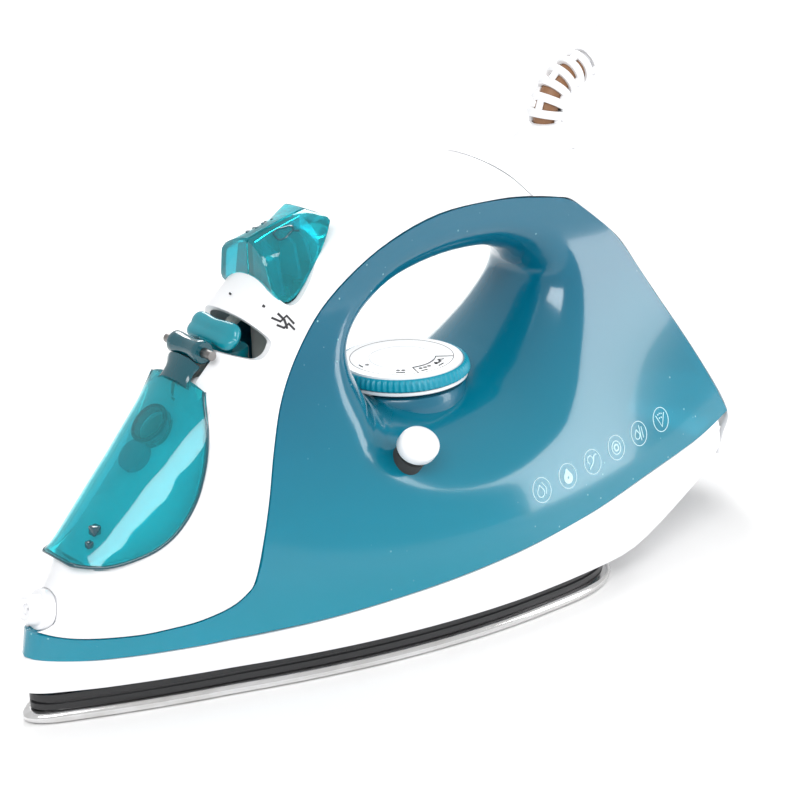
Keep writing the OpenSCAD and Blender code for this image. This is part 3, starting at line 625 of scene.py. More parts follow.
# ---------------------------------------------------------------- water tank
# Rows: seam x, seam z, rim x, rim z, edge radius
TANK_UPPER = [
    (-83, 37.5, -22.5, 79.5, 24), (-80.5, 44, -24, 82, 22), (-78.7, 50, -25.2, 84.5, 20),
    (-74.5, 62, -27, 88.5, 18), (-69.5, 76, -28.5, 93, 16), (-62.9, 90, -28.5, 99, 14),
    (-53, 103, -25, 104.5, 13), (-39, 115.7, -18, 109.2, 12), (-18, 127.4, -6, 113.4, 12),
    (7, 133.6, 12, 115.8, 12), (32, 133.3, 30, 115.2, 12), (52, 130, 40, 112.5, 12.5),
    (63, 127, 46, 109.5, 13), (72.3, 120.4, 49.5, 106, 13.5), (84.9, 108.4, 51.5, 102, 14),
    (97.3, 85.6, 49.5, 96.5, 16), (109.1, 62.6, 42, 87.5, 20), (119, 42.3, 33, 80, 24)]
TANK_LOWER = [
    (119, 42.3, 33, 80, 24), (101, 38.5, 28, 77, 26), (71, 35, 22, 74.3, 28), (45, 31, 14, 73, 28),
    (22, 28.3, 7, 72.6, 28), (-0.5, 26, 0, 72.5, 28), (-20, 24.2, -6, 72.8, 28), (-38, 22.7, -11, 73.6, 28),
    (-60, 21, -16, 75, 27), (-79, 20.3, -19.5, 77, 26)]
LOBE_TOP = [(-146.7, 30), (-138, 27.6), (-130, 26.4), (-118.6, 25.8), (-110, 26.3), (-101, 27.3), (-91.6, 30),
            (-86, 33.8), (-83, 37.5)]
LOBE_LOW = [(-148.7, 22), (-138, 20.4), (-130, 19.8), (-118, 19.5), (-110, 19.5), (-101, 19.5), (-92, 19.8),
            (-85, 20), (-79, 20.3)]


def tank_stations():
    link = [[TANK_LOWER[-1][i] + (TANK_UPPER[0][i] - TANK_LOWER[-1][i]) * k / 6 for i in range(5)]
            for k in range(6)]
    return spline(TANK_UPPER, 4)[:-1] + spline(TANK_LOWER, 4)[:-1] + link


def tank_wall(name, stations, depth, n=22):
    """C-shaped wall round the hand hole, open towards the outer shells."""
    rings = []
    for bx, bz, ox, oz, r in stations:
        outer = side_path((bx, bz), (ox, oz), r, depth, n)
        inner = side_path((bx, bz), (ox, oz), r, depth + TANK_T, n)
        ring = [(x, -w, z) for x, w, z in outer] + [(x, w, z) for x, w, z in reversed(outer[:-1])]
        ring += [(x, w, z) for x, w, z in inner] + [(x, -w, z) for x, w, z in reversed(inner[:-1])]
        rings.append(ring)
    return loft(name, rings, closed=True, smooth=60)


def lobe_wall():
    """The strip of tank under the nose fascia, wrapped round the nose."""
    top, low = spline(LOBE_TOP, 6), spline(LOBE_LOW, 6)
    rings = []
    order = [(-1, i) for i in range(len(top) - 1, -1, -1)] + [(1, i) for i in range(1, len(top))]
    for side, i in order:
        outer, inner = [], []
        for j in range(7):
            v = j / 6
            x = low[i][0] + (top[i][0] - low[i][0]) * v
            z = low[i][1] + (top[i][1] - low[i][1]) * v
            w = body_w(x, z) if i else 0.0
            outer.append((x, side * w, z))
            inner.append((x + (TANK_T if i < 8 else 0.6), side * max(w - TANK_T, 0), z))
        rings.append(outer + inner[::-1])
    return loft("lobe", rings, cap="strip", smooth=60)


def make_tank():
    tank = join("water_tank_skin", [tank_wall("ring", tank_stations(), 0), lobe_wall()], 60)
    tidy(tank, 60)
    return finish_piece(tank, TANK, "base", "teal_tank", "water_tank")


CREASE = [(-57.4, 100.9), (-58.4, 90), (-57.9, 79.7), (-56.5, 67.3), (-51.3, 56.5), (-37.4, 50.2), (-8.8, 46.8),
          (29.9, 48), (61, 53), (80, 66)]


def make_tank_liner():
    """Second wall inside the tank; its lower edge shows through as the crease."""
    stations = []
    for bx, bz, ox, oz, r in spline(TANK_UPPER, 4)[:-1] + spline(TANK_LOWER, 4):
        cx, cz = crease_hit((ox, oz), (bx, bz))
        stations.append((cx, cz, ox, oz, r))
    liner = tank_wall("tank_liner", stations, TANK_T + 0.6, 18)
    # The darker copy of the tank plastic paints shade above the crease.
    return finish_piece(liner, TANK_SHADED_COPY, "base", "teal_tank")


def crease_hit(o, b):
    """Where the line from the rim to the seam meets the crease, or a point just inside the seam."""
    line = spline(CREASE, 6)
    best = 0.94
    for p, q in zip(line, line[1:]):
        d1 = (b[0] - o[0], b[1] - o[1])
        d2 = (q[0] - p[0], q[1] - p[1])
        det = d1[0] * -d2[1] + d1[1] * d2[0]
        if abs(det) < 1e-9:
            continue
        ex, ez = p[0] - o[0], p[1] - o[1]
        t = (ex * -d2[1] + ez * d2[0]) / det
        s = (d1[0] * ez - d1[1] * ex) / det
        if 0 <= s <= 1 and 0 < t < best:
            best = t
    return o[0] + (b[0] - o[0]) * best, o[1] + (b[1] - o[1]) * best


# ---------------------------------------------------------------- upper shells
TOP_SHELL = [
    (-145.8, 30.4, -146.4, 31.8, 6), (-138, 28, -145, 34, 8), (-130, 26.8, -142, 38, 10),
    (-118.6, 26.2, -138.5, 42, 13), (-110, 26.7, -136, 45, 16), (-101, 27.7, -134, 48.5, 18),
    (-91.6, 30.4, -131, 52.5, 20), (-86, 34.2, -125.5, 58.5, 22), (-83.3, 38, -119, 65, 24),
    (-79.1, 50, -107.5, 76.5, 24), (-74.9, 62, -98, 86.2, 23), (-69.9, 76, -86.5, 98, 21),
    (-63.3, 90, -74, 109.5, 18), (-53.4, 103, -64.5, 119, 16), (-39.4, 115.9, -49, 129.5, 15),
    (-18.2, 127.7, -26, 137.3, 14), (7, 133.9, 4, 143.2, 13), (32, 133.6, 20, 145.5, 13),
    (46.7, 131.6, 31, 146, 13)]
REAR_COVER = [
    (46.9, 131.5, 31.4, 146, 13), (52, 130.4, 44, 146, 13), (57.5, 129, 59, 145.2, 12.5),
    (63.2, 127.3, 74, 143.6, 12), (69, 123, 83, 138.5, 11.5), (76, 117.3, 90, 130, 11), (85.1, 108.6, 101, 113.5, 11),
    (91.5, 97.2, 108.5, 100.5, 11), (97.5, 85.8, 115, 88, 11), (109.4, 62.8, 128, 63, 12),
    (119.2, 42.4, 140, 43, 12), (115.5, 35.5, 148.5, 30, 13), (112.5, 31, 150.3, 25, 13),
    (112, 28.6, 149.8, 19.5, 12)]


def make_shell(name, rows, n=24, steps=5):
    rows = spline(rows, steps)
    rings = []
    last = len(rows) - 1
    for i, (bx, bz, ox, oz, r) in enumerate(rows):
        b, o = (bx, bz), (ox, oz)
        if i in (0, last):
            nxt = rows[1] if i == 0 else rows[-2]
            f = 0.12
            mid = [v + (w - v) * f for v, w in zip(rows[i], nxt)]
            edge = [wall_ring(b, o, r, SHELL_T, n, inset=0.5), wall_ring(mid[:2], mid[2:4], mid[4], SHELL_T, n)]
            rings += edge if i == 0 else edge[::-1]
        else:
            rings.append(wall_ring(b, o, r, SHELL_T, n))
    return loft(name, rings, cap="strip", smooth=40)


DOOR_EDGE = [(-135.2, 51), (-130, 49.8), (-124, 49.6), (-114, 52), (-107.5, 55.2), (-102.3, 59.6), (-97.5, 65.5),
             (-94, 72), (-91.2, 78.5), (-89.2, 84.5), (-87.6, 90.5), (-86, 96), (-84.5, 99.5)]


def offset_outline(points, d):
    """Moves an open outline sideways by d."""
    out = []
    for i, p in enumerate(points):
        a, b = points[max(i - 1, 0)], points[min(i + 1, len(points) - 1)]
        dx, dz = b[0] - a[0], b[1] - a[1]
        size = math.hypot(dx, dz)
        out.append((p[0] + dz / size * d, p[1] - dx / size * d))
    return out


BUTTON_CUT = [(-56.6, 121.6), (-55.7, 118.6), (-53.6, 116.9), (-51.2, 117.2), (-48.6, 119), (-44.5, 123.4),
              (-38.5, 131), (-34, 137.2), (-31.8, 141), (-32, 152), (-59, 152), (-58, 130)]


def make_top_shell():
    shell = make_shell("top_shell_skin", TOP_SHELL)
    edge = offset_outline(spline(DOOR_EDGE, 4), 0.5)
    boolean(shell, prism("cut", edge + [(-80, 103), (-84, 118), (-150, 62), (-137, 50)], -60, 60), smooth=40)
    boolean(shell, prism("cut", spline(BUTTON_CUT, 4, closed=True), -60, 60), smooth=40)
    slot = [(-80.5, 107.6), (-76.5, 113), (-72, 118.5), (-63, 109), (-63.3, 105.6), (-66.2, 103.2), (-70, 103.2)]
    boolean(shell, prism("cut", spline(slot, 4, closed=True), -60, 60), smooth=40)
    boolean(shell, prism("cut", [(-95, 92), (-79, 99.5), (-76, 103), (-76, 110), (-84, 118)], -8.1, 8.1),
            smooth=40)
    place = Matrix.Translation(NOZZLE_BASE) @ Matrix.Rotation(NOZZLE_TILT, 4, "Y")
    boolean(shell, lathe("cut", [(0, 0), (5.1, 0), (5.1, 14.6), (6.9, 14.8), (6.9, 40), (0, 40)], 48, place),
            smooth=40)
    return finish_piece(shell, WHITE, "base", "white_shell", "top_shell")


def make_rear_cover():
    shell = make_shell("rear_cover_skin", REAR_COVER)
    recess = lathe("cut", [(0, -3.4), (9, -3.2), (13, -1.6), (14.6, 0.6), (15.4, 4), (15.4, 14), (0, 14)], 64,
                   Matrix.Translation((SWIVEL_X + 2.5, 0, 143.2)) @ Matrix.Rotation(math.radians(9), 4, "Y")
                   @ Matrix.Diagonal((1.12, 0.86, 1, 1)))
    boolean(shell, recess, smooth=40)
    return finish_piece(shell, WHITE, "base", "white_shell", "rear_cover")


# ---------------------------------------------------------------- filling door
# Rows: seam x, seam z, ridge x, ridge z, edge radius
DOOR = [
    (-134.4, 50.8, -135.8, 52, 5), (-130, 49.9, -133.6, 53.4, 9), (-124, 49.7, -130.6, 56, 13),
    (-114, 52, -125.3, 60.8, 18), (-107.5, 55.2, -120.3, 65.5, 20), (-102.3, 59.6, -114.8, 70.8, 21),
    (-97.5, 65.5, -109, 76.3, 21), (-94, 72, -103.6, 81.5, 19), (-91.2, 78.5, -98.6, 86.3, 17),
    (-89.2, 84.5, -94.6, 90.2, 15), (-87.6, 90.5, -91, 94, 12.5), (-86, 96, -86.8, 99, 10)]
DOOR_T = 1.8


def seam_path(rows, steps, sink=0.3):
    """Points along the seam on both sides, round the low end."""
    rows = spline(rows, steps)
    right = [side_path((r[0], r[1]), (r[2], r[3]), r[4], sink, 6)[0] for r in rows]
    return [(x, -w, z) for x, w, z in reversed(right)] + [(x, w, z) for x, w, z in right]


def make_door():
    rings = []
    rows = spline(DOOR, 4)
    for i, (bx, bz, ox, oz, r) in enumerate(rows):
        rings.append(wall_ring((bx, bz), (ox, oz), r, DOOR_T, 20, inset=0.4 if i in (0, len(rows) - 1) else 0))
    window = loft("fill_door_window", rings, cap="strip", smooth=50)
    finish_piece(window, CLEAR_TEAL, "fill_door", "clear_teal", "fill_door")
    bead = sweep_tube("bead", seam_path(DOOR, 4, 0.6), 0.62, 10)
    place = Matrix.Translation((HINGE[0], 0, HINGE[1])) @ Matrix.Rotation(math.pi / 2, 4, "X")
    barrel = lathe("barrel", [(1.62, -7.8), (3.3, -7.8), (3.7, -7.2), (3.6, -5.4), (3.2, -2.6), (3.1, 0), (3.2, 2.6),
                              (3.6, 5.4), (3.7, 7.2), (3.3, 7.8), (1.62, 7.8)], 40, place)
    neck = []
    for t in [k / 8 for k in range(9)]:
        cx, cz = -87.8 + 4.4 * t, 97 + 6.6 * t + 0.8 * t * (1 - t)
        half = 8.4 - 1.4 * math.sin(math.pi * min(t * 1.1, 1))
        nx, nz, th = -0.8, 0.6, 1.5
        ring = [(cx + nx * th * math.sin(a) * (1 if a < math.pi else 0.6), half * math.cos(a),
                 cz + nz * th * math.sin(a) - abs(math.cos(a)) ** 3 * 1.6)
                for a in [2 * math.pi * k / 24 for k in range(24)]]
        neck.append(ring)
    frame_piece = join("fill_door_frame", [bead, barrel, loft("neck", neck, cap="fan")], 45)
    finish_piece(frame_piece, TEAL_EDGE, "fill_door", "teal_plastic")
    boss = Matrix.Translation((-97.2, 0, 84.6)) @ Matrix.Rotation(math.radians(-44), 4, "Y")
    ring = lathe("fill_door_boss", [(5.4, -2.2), (6.6, -2.2), (6.9, 0.1), (6.6, 0.7), (5.9, 0.9), (5.5, 0.5)], 48, boss)
    finish_piece(ring, TEAL_EDGE, "fill_door", "teal_plastic")
    tabs = []
    for x, z, y, size in ((-124.5, 59.2, -7, 1.5), (-127.5, 55.6, -8, 1.1)):
        tab = prism("tab", [(x - size, z - size), (x + size, z - size), (x + size, z + size), (x - size, z + size)],
                    y - size, y + size)
        bevel(tab, 0.4, 2)
        tabs.append(tab)
    finish_piece(join("fill_door_catches", tabs), TEAL_EDGE, "fill_door", "teal_plastic")


def make_fill_pan():
    """White recess under the door, with a hole for the plug."""
    rings = []
    rows = spline(DOOR[1:], 3)
    for bx, bz, ox, oz, r in rows:
        b, o = (bx, bz), (ox, oz)
        deep = side_path(b, o, max(r - 5, 3), 5.2, 14, start=-2.2)
        deeper = side_path(b, o, max(r - 6, 2.5), 6.2, 14, start=-2.6)
        top = side_path(b, o, r, 2.4, 2, start=-2.4)[0]
        outer = [top] + deep
        inner = [(top[0], top[1] - 1.0, top[2] - 0.3)] + deeper
        ring = [(x, -w, z) for x, w, z in outer] + [(x, w, z) for x, w, z in reversed(outer[:-1])]
        ring += [(x, w, z) for x, w, z in inner] + [(x, -w, z) for x, w, z in reversed(inner[:-1])]
        rings.append(ring)
    pan = loft("fill_pan", rings, cap="strip", smooth=40)
    place = Matrix.Translation((-92, 0, 78)) @ Matrix.Rotation(math.radians(-41), 4, "Y")
    boolean(pan, lathe("cut", [(0, -14), (6.6, -14), (6.6, 14), (0, 14)], 32, place), smooth=40)
    finish_piece(pan, WHITE, "base", "white_shell")


# ---------------------------------------------------------------- thumb buttons
BUTTON_TOP = [(-57.6, 135.2), (-57, 136), (-52, 137.4), (-47, 138.7), (-40, 140.2), (-34.6, 141.1), (-33.2, 140.6)]
BUTTON_LOW = [(-57.6, 121.4), (-56.9, 119.6), (-55.6, 118.2), (-53.6, 117.7), (-51, 118.4), (-46, 122.2), (-42, 126.6),
              (-38, 131.2), (-35.4, 135.2), (-33.2, 139.2)]


def button_section(x, side, inner, crease_front, crease_rear, shrink=0.0):
    """Half section of a thumb button at x: ridge, sloping top, crease and side."""
    zt = height_at(BUTTON_TOP, x) - shrink
    zl = height_at(BUTTON_LOW, x) + (0 if shrink == 0 else -3)
    t = min(max((x + 57.6) / 9, 0), 1)
    crease = crease_front + (crease_rear - crease_front) * t * t * (3 - 2 * t) - shrink
    drop = 4.6 * min((zt - zl) / 14, 1)
    zc = zt - drop
    low_w = 15.2 - shrink
    pts = [(inner + shrink, zt - 0.25 if not shrink else zt), (inner + 0.4 + shrink, zt)]
    for f in (0.25, 0.5, 0.75, 0.93):
        pts.append((inner + (crease - inner) * f, zt - drop * f ** 1.8))
    pts.append((crease + 0.15, zc - 0.5))
    for f in (0.15, 0.35, 0.6, 0.85, 1.0):
        z = zc - 0.5 + (zl - zc + 0.5) * f
        g = min(max((zc - z) / 17, 0), 1)
        pts.append((crease + 0.15 + (low_w - crease) * g ** 0.8, z))
    pts.append((inner + shrink, zl))
    return [(x, side * y, z) for y, z in pts]


def make_button(name, side, inner, crease_front, body, replaced):
    xs = [-57.6, -57.45, -57, -56, -54.5, -53, -51, -48.5, -46, -43.5, -41, -38.5, -36.5, -35, -34, -33.4]
    outer = loft(name, [button_section(x, side, inner, crease_front, 11.5) for x in xs], cap="fan", smooth=30)
    core = [button_section(x, side, inner, crease_front, 11.5, 1.5) for x in [-56] + xs[4:12] + [-37.8]]
    boolean(outer, loft("core", core, cap="fan"), smooth=30)
    finish_piece(outer, CLEAR_TEAL, body, "clear_teal", replaced)
    ribs = []
    for x in (-53.2, -46.5, -42.2):
        zt, zl = height_at(BUTTON_TOP, x) - 2.2, height_at(BUTTON_LOW, x) + 1.2
        rib = loft("rib", [[(xx, side * y, z) for y, z in ((inner + 1.8, zl), (11.6, zl), (9.2, zt - 3.2),
                                                          (inner + 1.8, zt))] for xx in (x, x + 1.1)], cap="fan")
        ribs.append(rib)
    finish_piece(join(name + "_ribs", ribs), TEAL, body, "teal_plastic")
    return outer


def top_point(obj, x, y, lift=0.12):
    """Point just over the surface of a piece, looking down at x, y."""
    hit, loc, normal, _ = obj.ray_cast(Vector((x, y, 200)) * MM, Vector((0, 0, -1)))
    return (loc + normal * lift * MM) / MM if hit else Vector((x, y, 0))


def side_point(obj, x, z, lift=0.12):
    hit, loc, normal, _ = obj.ray_cast(Vector((x, -90, z)) * MM, Vector((0, 1, 0)))
    return (loc + normal * lift * MM) / MM if hit else Vector((x, 0, z))


def make_button_marks(near, far):
    loop = []
    for k in range(28):
        a = 2 * math.pi * k / 28
        r = 1 + 0.16 * math.cos(3 * a)
        loop.append(top_point(near, -47.6 + 3.4 * r * math.cos(a), -6.2 + 1.9 * r * math.sin(a)))
    tail = [top_point(near, -44.4 + 0.5 * k, -7.4 - 0.35 * k) for k in range(4)]
    mark = join("mist_mark", [sweep_tube("a", loop, 0.28, 6, closed=True), sweep_tube("b", tail, 0.3, 6)])
    finish_piece(mark, TEAL_EDGE, "burst_button", "teal_plastic")
    dots = []
    for x, y, r in ((-52.5, 5.6, 0.9), (-50, 4.2, 0.7), (-49.2, 6.8, 0.7), (-46.6, 5.2, 0.9), (-44.6, 6.8, 0.6),
                    (-44, 4.2, 0.6)):
        place = Matrix.Translation(top_point(far, x, y, 0.0))
        dots.append(lathe("dot", [(0, 0.22), (r * 0.8, 0.2), (r, 0.05), (r, -0.3), (0, -0.3)], 16, place))
    finish_piece(join("spray_mark", dots), TEAL_EDGE, "spray_button", "teal_plastic")


# ---------------------------------------------------------------- steam lever
def make_lever():
    rings = []
    for k in range(-14, 15):
        v = k / 14
        y = 12.2 * v
        end = math.sqrt(max(1 - abs(v) ** 6, 0.02))
        scoop = 0.72 + 0.28 * abs(v) ** 1.5
        a, b = 5.4 * end * scoop, 3.2 * end * scoop
        cx, cz = -72.4 + 0.8 * abs(v), 109.6 - 0.8 * abs(v) ** 2
        ring = []
        for j in range(28):
            t = 2 * math.pi * j / 28
            u, w = a * math.cos(t), b * math.sin(t)
            if w > 0:
                w *= 0.45 + 0.55 * abs(math.cos(t))
            ring.append((cx + u * 0.64 - w * 0.77, y, cz + u * 0.77 + w * 0.64))
        rings.append(ring)
    lobes = loft("steam_lever_thumb", rings, cap="fan", smooth=60)
    hub = lathe("hub", [(2.1, 98), (5.6, 98), (6, 98.5), (6, 102), (5.6, 102.5), (2.1, 102.5)], 40,
                Matrix.Translation((LEVER_X, 0, 0)))
    arm = prism("arm", [(-66.5, 98.3), (-70, 98.6), (-75.6, 107), (-72, 111), (-67.5, 104.6), (-66.5, 102)], -3.2, 3.2)
    bevel(arm, 0.5, 2)
    piece = join("steam_lever_thumb", [lobes, hub, arm], 45)
    finish_piece(piece, TEAL, "steam_lever", "teal_plastic", "steam_lever")


# ---------------------------------------------------------------- dial
def make_dial():
    base = Matrix.Translation((DIAL_X, 0, DIAL_Z))
    cap = lathe("dial_cap_disc", [
        (0, 6.15), (10.6, 6.15), (10.75, 6.0), (11.0, 6.0), (11.15, 6.2), (19.2, 6.3), (20.1, 6.1), (20.5, 5.6),
        (20.6, 4.8), (20.6, 2.1), (0, 2.1)], 128, base, 25)
    finish_piece(cap, DIAL_WHITE, "dial", "dial_white", "dial_cap")
    ribs, per = 72, 6
    profile = [(20.8, 1.7, 0), (21.9, 1.6, 0), (22.4, 1.9, 0.4), (22.5, 2.4, 1), (22.2, 3.8, 1), (21.8, 5.0, 1),
               (21.4, 5.5, 0.3), (21.0, 5.7, 0), (20.75, 5.5, 0)]
    rings = []
    for r, h, knurl in profile:
        ring = []
        for k in range(ribs * per):
            a = 2 * math.pi * k / (ribs * per)
            dent = max(math.cos(ribs * a) + 0.2, -0.6) * 0.28 * knurl
            ring.append((DIAL_X + (r + dent) * math.cos(a), (r + dent) * math.sin(a), DIAL_Z + h))
        rings.append(ring)
    finish_piece(loft("dial_grip_ring", rings, closed=True, smooth=40), RING_TEAL, "dial", "teal_plastic", "dial_ring")
    under = lathe("dial_under_disc", [(3.2, 0), (21.4, 0), (21.9, 0.35), (22.0, 0.8), (21.8, 1.4), (3.2, 1.4)], 96, base)
    finish_piece(under, WHITE, "dial", "white_shell", "dial_under_ring")
    top = 6.33
    marks = [lathe("line", [(17.15, top - 0.1), (17.15, top), (17.4, top), (17.4, top - 0.1)], 96, base)]
    right = math.radians(-38.5)

    def polar(r, deg):
        a = right + math.radians(deg)
        return Vector((DIAL_X + r * math.cos(a), r * math.sin(a), DIAL_Z + top))

    for deg in (-3, -72):
        marks.append(sweep_tube("spoke", [polar(r, deg) for r in (11.3, 13, 15, 17.1)], 0.14, 6))
    marks.append(sweep_tube("arc", [polar(11.3, -3 - 69 * k / 16) for k in range(17)], 0.14, 6))
    for deg, count in ((-150, 1), (-92, 2), (-55, 3)):
        for k in range(count):
            place = Matrix.Translation(polar(13.2, deg + (k - (count - 1) / 2) * 7.5) - Vector((0, 0, 0.1)))
            marks.append(lathe("dot", [(0, 0.14), (0.62, 0.14), (0.7, 0.05), (0.7, -0.1), (0, -0.1)], 20, place))
    for deg, reach in ((-150, 9), (-92, 11), (-62, 8), (-34, 10)):
        marks.append(sweep_tube("dash", [polar(15.6, deg + reach * (k / 6 - 0.5)) for k in range(7)], 0.2, 6))
    wave = [polar(13.4 + 0.9 * math.sin(k * 1.05), -26 + 1.6 * k) for k in range(9)]
    marks.append(sweep_tube("wave", wave, 0.17, 6))
    wave = [polar(13.4 + 0.9 * math.sin(k * 1.05), -36 + 0.9 * k) for k in range(9)]
    marks.append(sweep_tube("wave", wave, 0.17, 6))
    finish_piece(join("dial_marks", marks), PRINT, "dial", "dial_white")


def make_dial_seat():
    """Round drum under the dial, part of the tank."""
    drum = lathe("dial_seat", [
        (11.2, 74.2), (19.4, 74.2), (20.6, 73.9), (21.1, 73.0), (21.4, 69), (21.9, 62), (22.4, 56), (20, 56),
        (19.4, 62), (19, 70), (18.6, 72), (11.2, 72)], 96, Matrix.Translation((DIAL_X, 0, 0)))
    # The darker copy of the tank plastic paints shade under the dial.
    finish_piece(drum, TANK_SHADED_COPY, "base", "teal_tank")


# ---------------------------------------------------------------- self-clean button, nozzle
def make_clean_button():
    place = (Matrix.Translation(CLEAN_POS) @ Matrix.Rotation(CLEAN_TILT, 4, "X")
             @ Matrix.Diagonal((1.1, 0.97, 1, 1)))
    piece = lathe("self_clean_cap", [(0, 8.9), (4.6, 8.85), (5.7, 8.6), (6.3, 8.0), (6.5, 7.2), (6.5, 4.9), (6.2, 4.4),
                                     (5.4, 4.2), (0, 4.2)], 64, place)
    stem = lathe("stem", [(0, -12), (1.5, -12), (1.5, -6), (3.1, -6), (3.1, -4.8), (1.5, -4.8), (1.5, 4.3), (0, 4.3)],
                 24, Matrix.Translation(CLEAN_POS) @ Matrix.Rotation(CLEAN_TILT, 4, "X"))
    finish_piece(join("self_clean_cap", [piece, stem]), WHITE, "self_clean_button", "white_shell",
                 "self_clean_button")


def make_nozzle():
    place = Matrix.Translation(NOZZLE_BASE) @ Matrix.Rotation(NOZZLE_TILT, 4, "Y")
    piece = lathe("spray_nozzle_body", [
        (1.8, 1), (4.8, 1), (4.8, 14.6), (6.0, 14.8), (6.55, 15.3), (6.6, 16.6), (6.2, 17.6), (5.0, 18.1), (4.7, 18.6),
        (4.6, 21.6), (4.2, 22.3), (3.4, 22.5), (3.2, 22.2), (1.8, 22.0)], 56, place)
    finish_piece(piece, WHITE, "base", "white_shell", "spray_nozzle")


# ---------------------------------------------------------------- cord guard
def guard_frame(s):
    """Matrix at distance s along the guard's centre line, Z along the line."""
    rise = BEND_Z - 143
    arc = BEND_R * BEND_ANGLE
    if s < rise:
        pos, turn = Vector((SWIVEL_X, 0, 143 + s)), 0.0
    elif s < rise + arc:
        turn = (s - rise) / BEND_R
        pos = Vector((SWIVEL_X + BEND_R * (1 - math.cos(turn)), 0, BEND_Z + BEND_R * math.sin(turn)))
    else:
        turn = BEND_ANGLE
        over = s - rise - arc
        pos = Vector((SWIVEL_X + BEND_R * (1 - math.cos(turn)) + over * math.sin(turn), 0,
                      BEND_Z + BEND_R * math.sin(turn) + over * math.cos(turn)))
    return Matrix.Translation(pos) @ Matrix.Rotation(turn, 4, "Y")


def make_guard():
    parts = [lathe("dome", [
        (4.3, 142.2), (11.9, 142.2), (12.3, 142.6), (12.2, 143.2), (11.4, 144), (9.4, 146.2), (7.6, 148.2), (6.6, 149.4),
        (5.9, 149.8), (4.3, 149.9)], 64, Matrix.Translation((SWIVEL_X, 0, 0)))]
    pitch, count = 4.3, 6
    for k in range(count):
        s = 9.6 + pitch * k
        r = 6.5 - 0.13 * k
        parts.append(lathe("ring", [(4.2, -1.3), (r - 0.6, -1.4), (r - 0.1, -0.9), (r, 0), (r - 0.1, 0.9), (r - 0.6, 1.4),
                                    (4.2, 1.3)], 40, guard_frame(s)))
    for k in range(count + 1):
        s = 7.4 + pitch * k
        f = guard_frame(s)
        for a in ((0.3, 3.44) if k % 2 else (1.87, 5.01)):
            u = Vector((math.cos(a), math.sin(a), 0))
            parts.append(sweep_tube("web", [f @ (u * 5.0 + Vector((0, 0, h))) for h in (-1.6, 0, 1.6)], 1.25, 10))
    parts.append(lathe("bell", [
        (4.2, -1.6), (5.4, -1.7), (5.7, -1.2), (5.7, 1), (6.0, 4), (6.8, 7.4), (7.9, 10.4), (8.7, 12.2), (9.0, 13.0),
        (8.8, 13.6), (8.3, 13.7), (7.8, 13.2), (6.2, 8.6), (5.0, 5.4), (4.2, 3)], 56,
        guard_frame(9.6 + pitch * count)))
    finish_piece(join("cord_guard_sleeve", parts, 40), WHITE, "cord_swivel", "white_shell", "cord_guard")
    # A dark brown sleeve lines the bore and shows in the gaps between the rings.
    liner = []
    for k in range(24):
        f = guard_frame(5 + 27 * k / 23)
        liner.append([f @ Vector((3.95 * math.cos(2 * math.pi * j / 24), 3.95 * math.sin(2 * math.pi * j / 24), 0))
                      for j in range(24)])
    inner = [[p + (c - p) * 0.08 for p in ring] for ring, c in
             ((r, sum(r, Vector()) / len(r)) for r in reversed(liner))]
    finish_piece(loft("cord_guard_liner", liner + inner, closed=True, smooth=50), PHENOLIC, "cord_swivel",
                 "brown_phenolic")


# ---------------------------------------------------------------- printed marks on the body
def skin_line(obj, points, closed=False, radius=0.17):
    return sweep_tube("line", [side_point(obj, x, z, 0.05) for x, z in points], radius, 6, closed)


def circle(cx, cz, r, n=28, a0=0.0, a1=360.0):
    return [(cx + r * math.cos(math.radians(a0 + (a1 - a0) * k / n)),
             cz + r * math.sin(math.radians(a0 + (a1 - a0) * k / n))) for k in range(n)]


def drop(cx, cz, r, n=24):
    out = []
    for k in range(n):
        a = 2 * math.pi * k / n
        tip = max(math.sin(a), 0) ** 3
        out.append((cx + r * math.cos(a) * (1 - 0.75 * tip), cz + r * math.sin(a) * (1 + 0.6 * tip)))
    return out


def make_pictograms(tank):
    lines = []
    for k in range(6):
        cx, cz = 20.3 + 12.3 * k, 43.8 + 1.25 * k
        lines.append(skin_line(tank, circle(cx, cz, 3.9, 36), True, 0.14))
        if k == 0:
            lines.append(skin_line(tank, drop(cx - 0.6, cz - 0.6, 1.5), True))
            lines.append(skin_line(tank, [(cx + 0.6, cz + 2.4), (cx + 1.9, cz + 0.4), (cx + 1.5, cz - 1.6)]))
        elif k == 1:
            for r in (1.7, 1.2, 0.7):
                lines.append(skin_line(tank, drop(cx, cz - 0.5, r), True, 0.3))
        elif k == 2:
            lines.append(skin_line(tank, circle(cx - 0.9, cz + 0.8, 1.3, 14, 0, 250), False, 0.22))
            lines.append(skin_line(tank, [(cx - 2, cz - 2), (cx, cz - 0.4), (cx + 1.2, cz + 1.8), (cx + 2.4, cz + 2)],
                                   False, 0.26))
        elif k == 3:
            lines.append(skin_line(tank, circle(cx, cz, 2.1, 24), True, 0.2))
            lines.append(skin_line(tank, circle(cx, cz, 1.0, 18), True, 0.3))
        elif k == 4:
            lines.append(skin_line(tank, drop(cx - 0.9, cz - 0.4, 1.2), True))
            lines.append(skin_line(tank, [(cx + 0.7, cz - 2.4), (cx + 0.7, cz + 2.6)]))
            lines.append(skin_line(tank, [(cx + 1.8, cz - 1.8), (cx + 1.8, cz + 1.9)]))
        else:
            lines.append(skin_line(tank, [(cx - 2.2, cz + 1.8), (cx, cz - 2.4), (cx + 2.2, cz + 1.8)]))
            for dx, dz in ((-0.9, 1.8), (0, 2), (0.9, 1.8), (-0.5, 0.6), (0.5, 0.6)):
                lines.append(skin_line(tank, circle(cx + dx, cz + dz, 0.14, 8), True, 0.14))
    finish_piece(join("tank_pictograms", lines), PALE_PRINT, "base", "teal_tank")


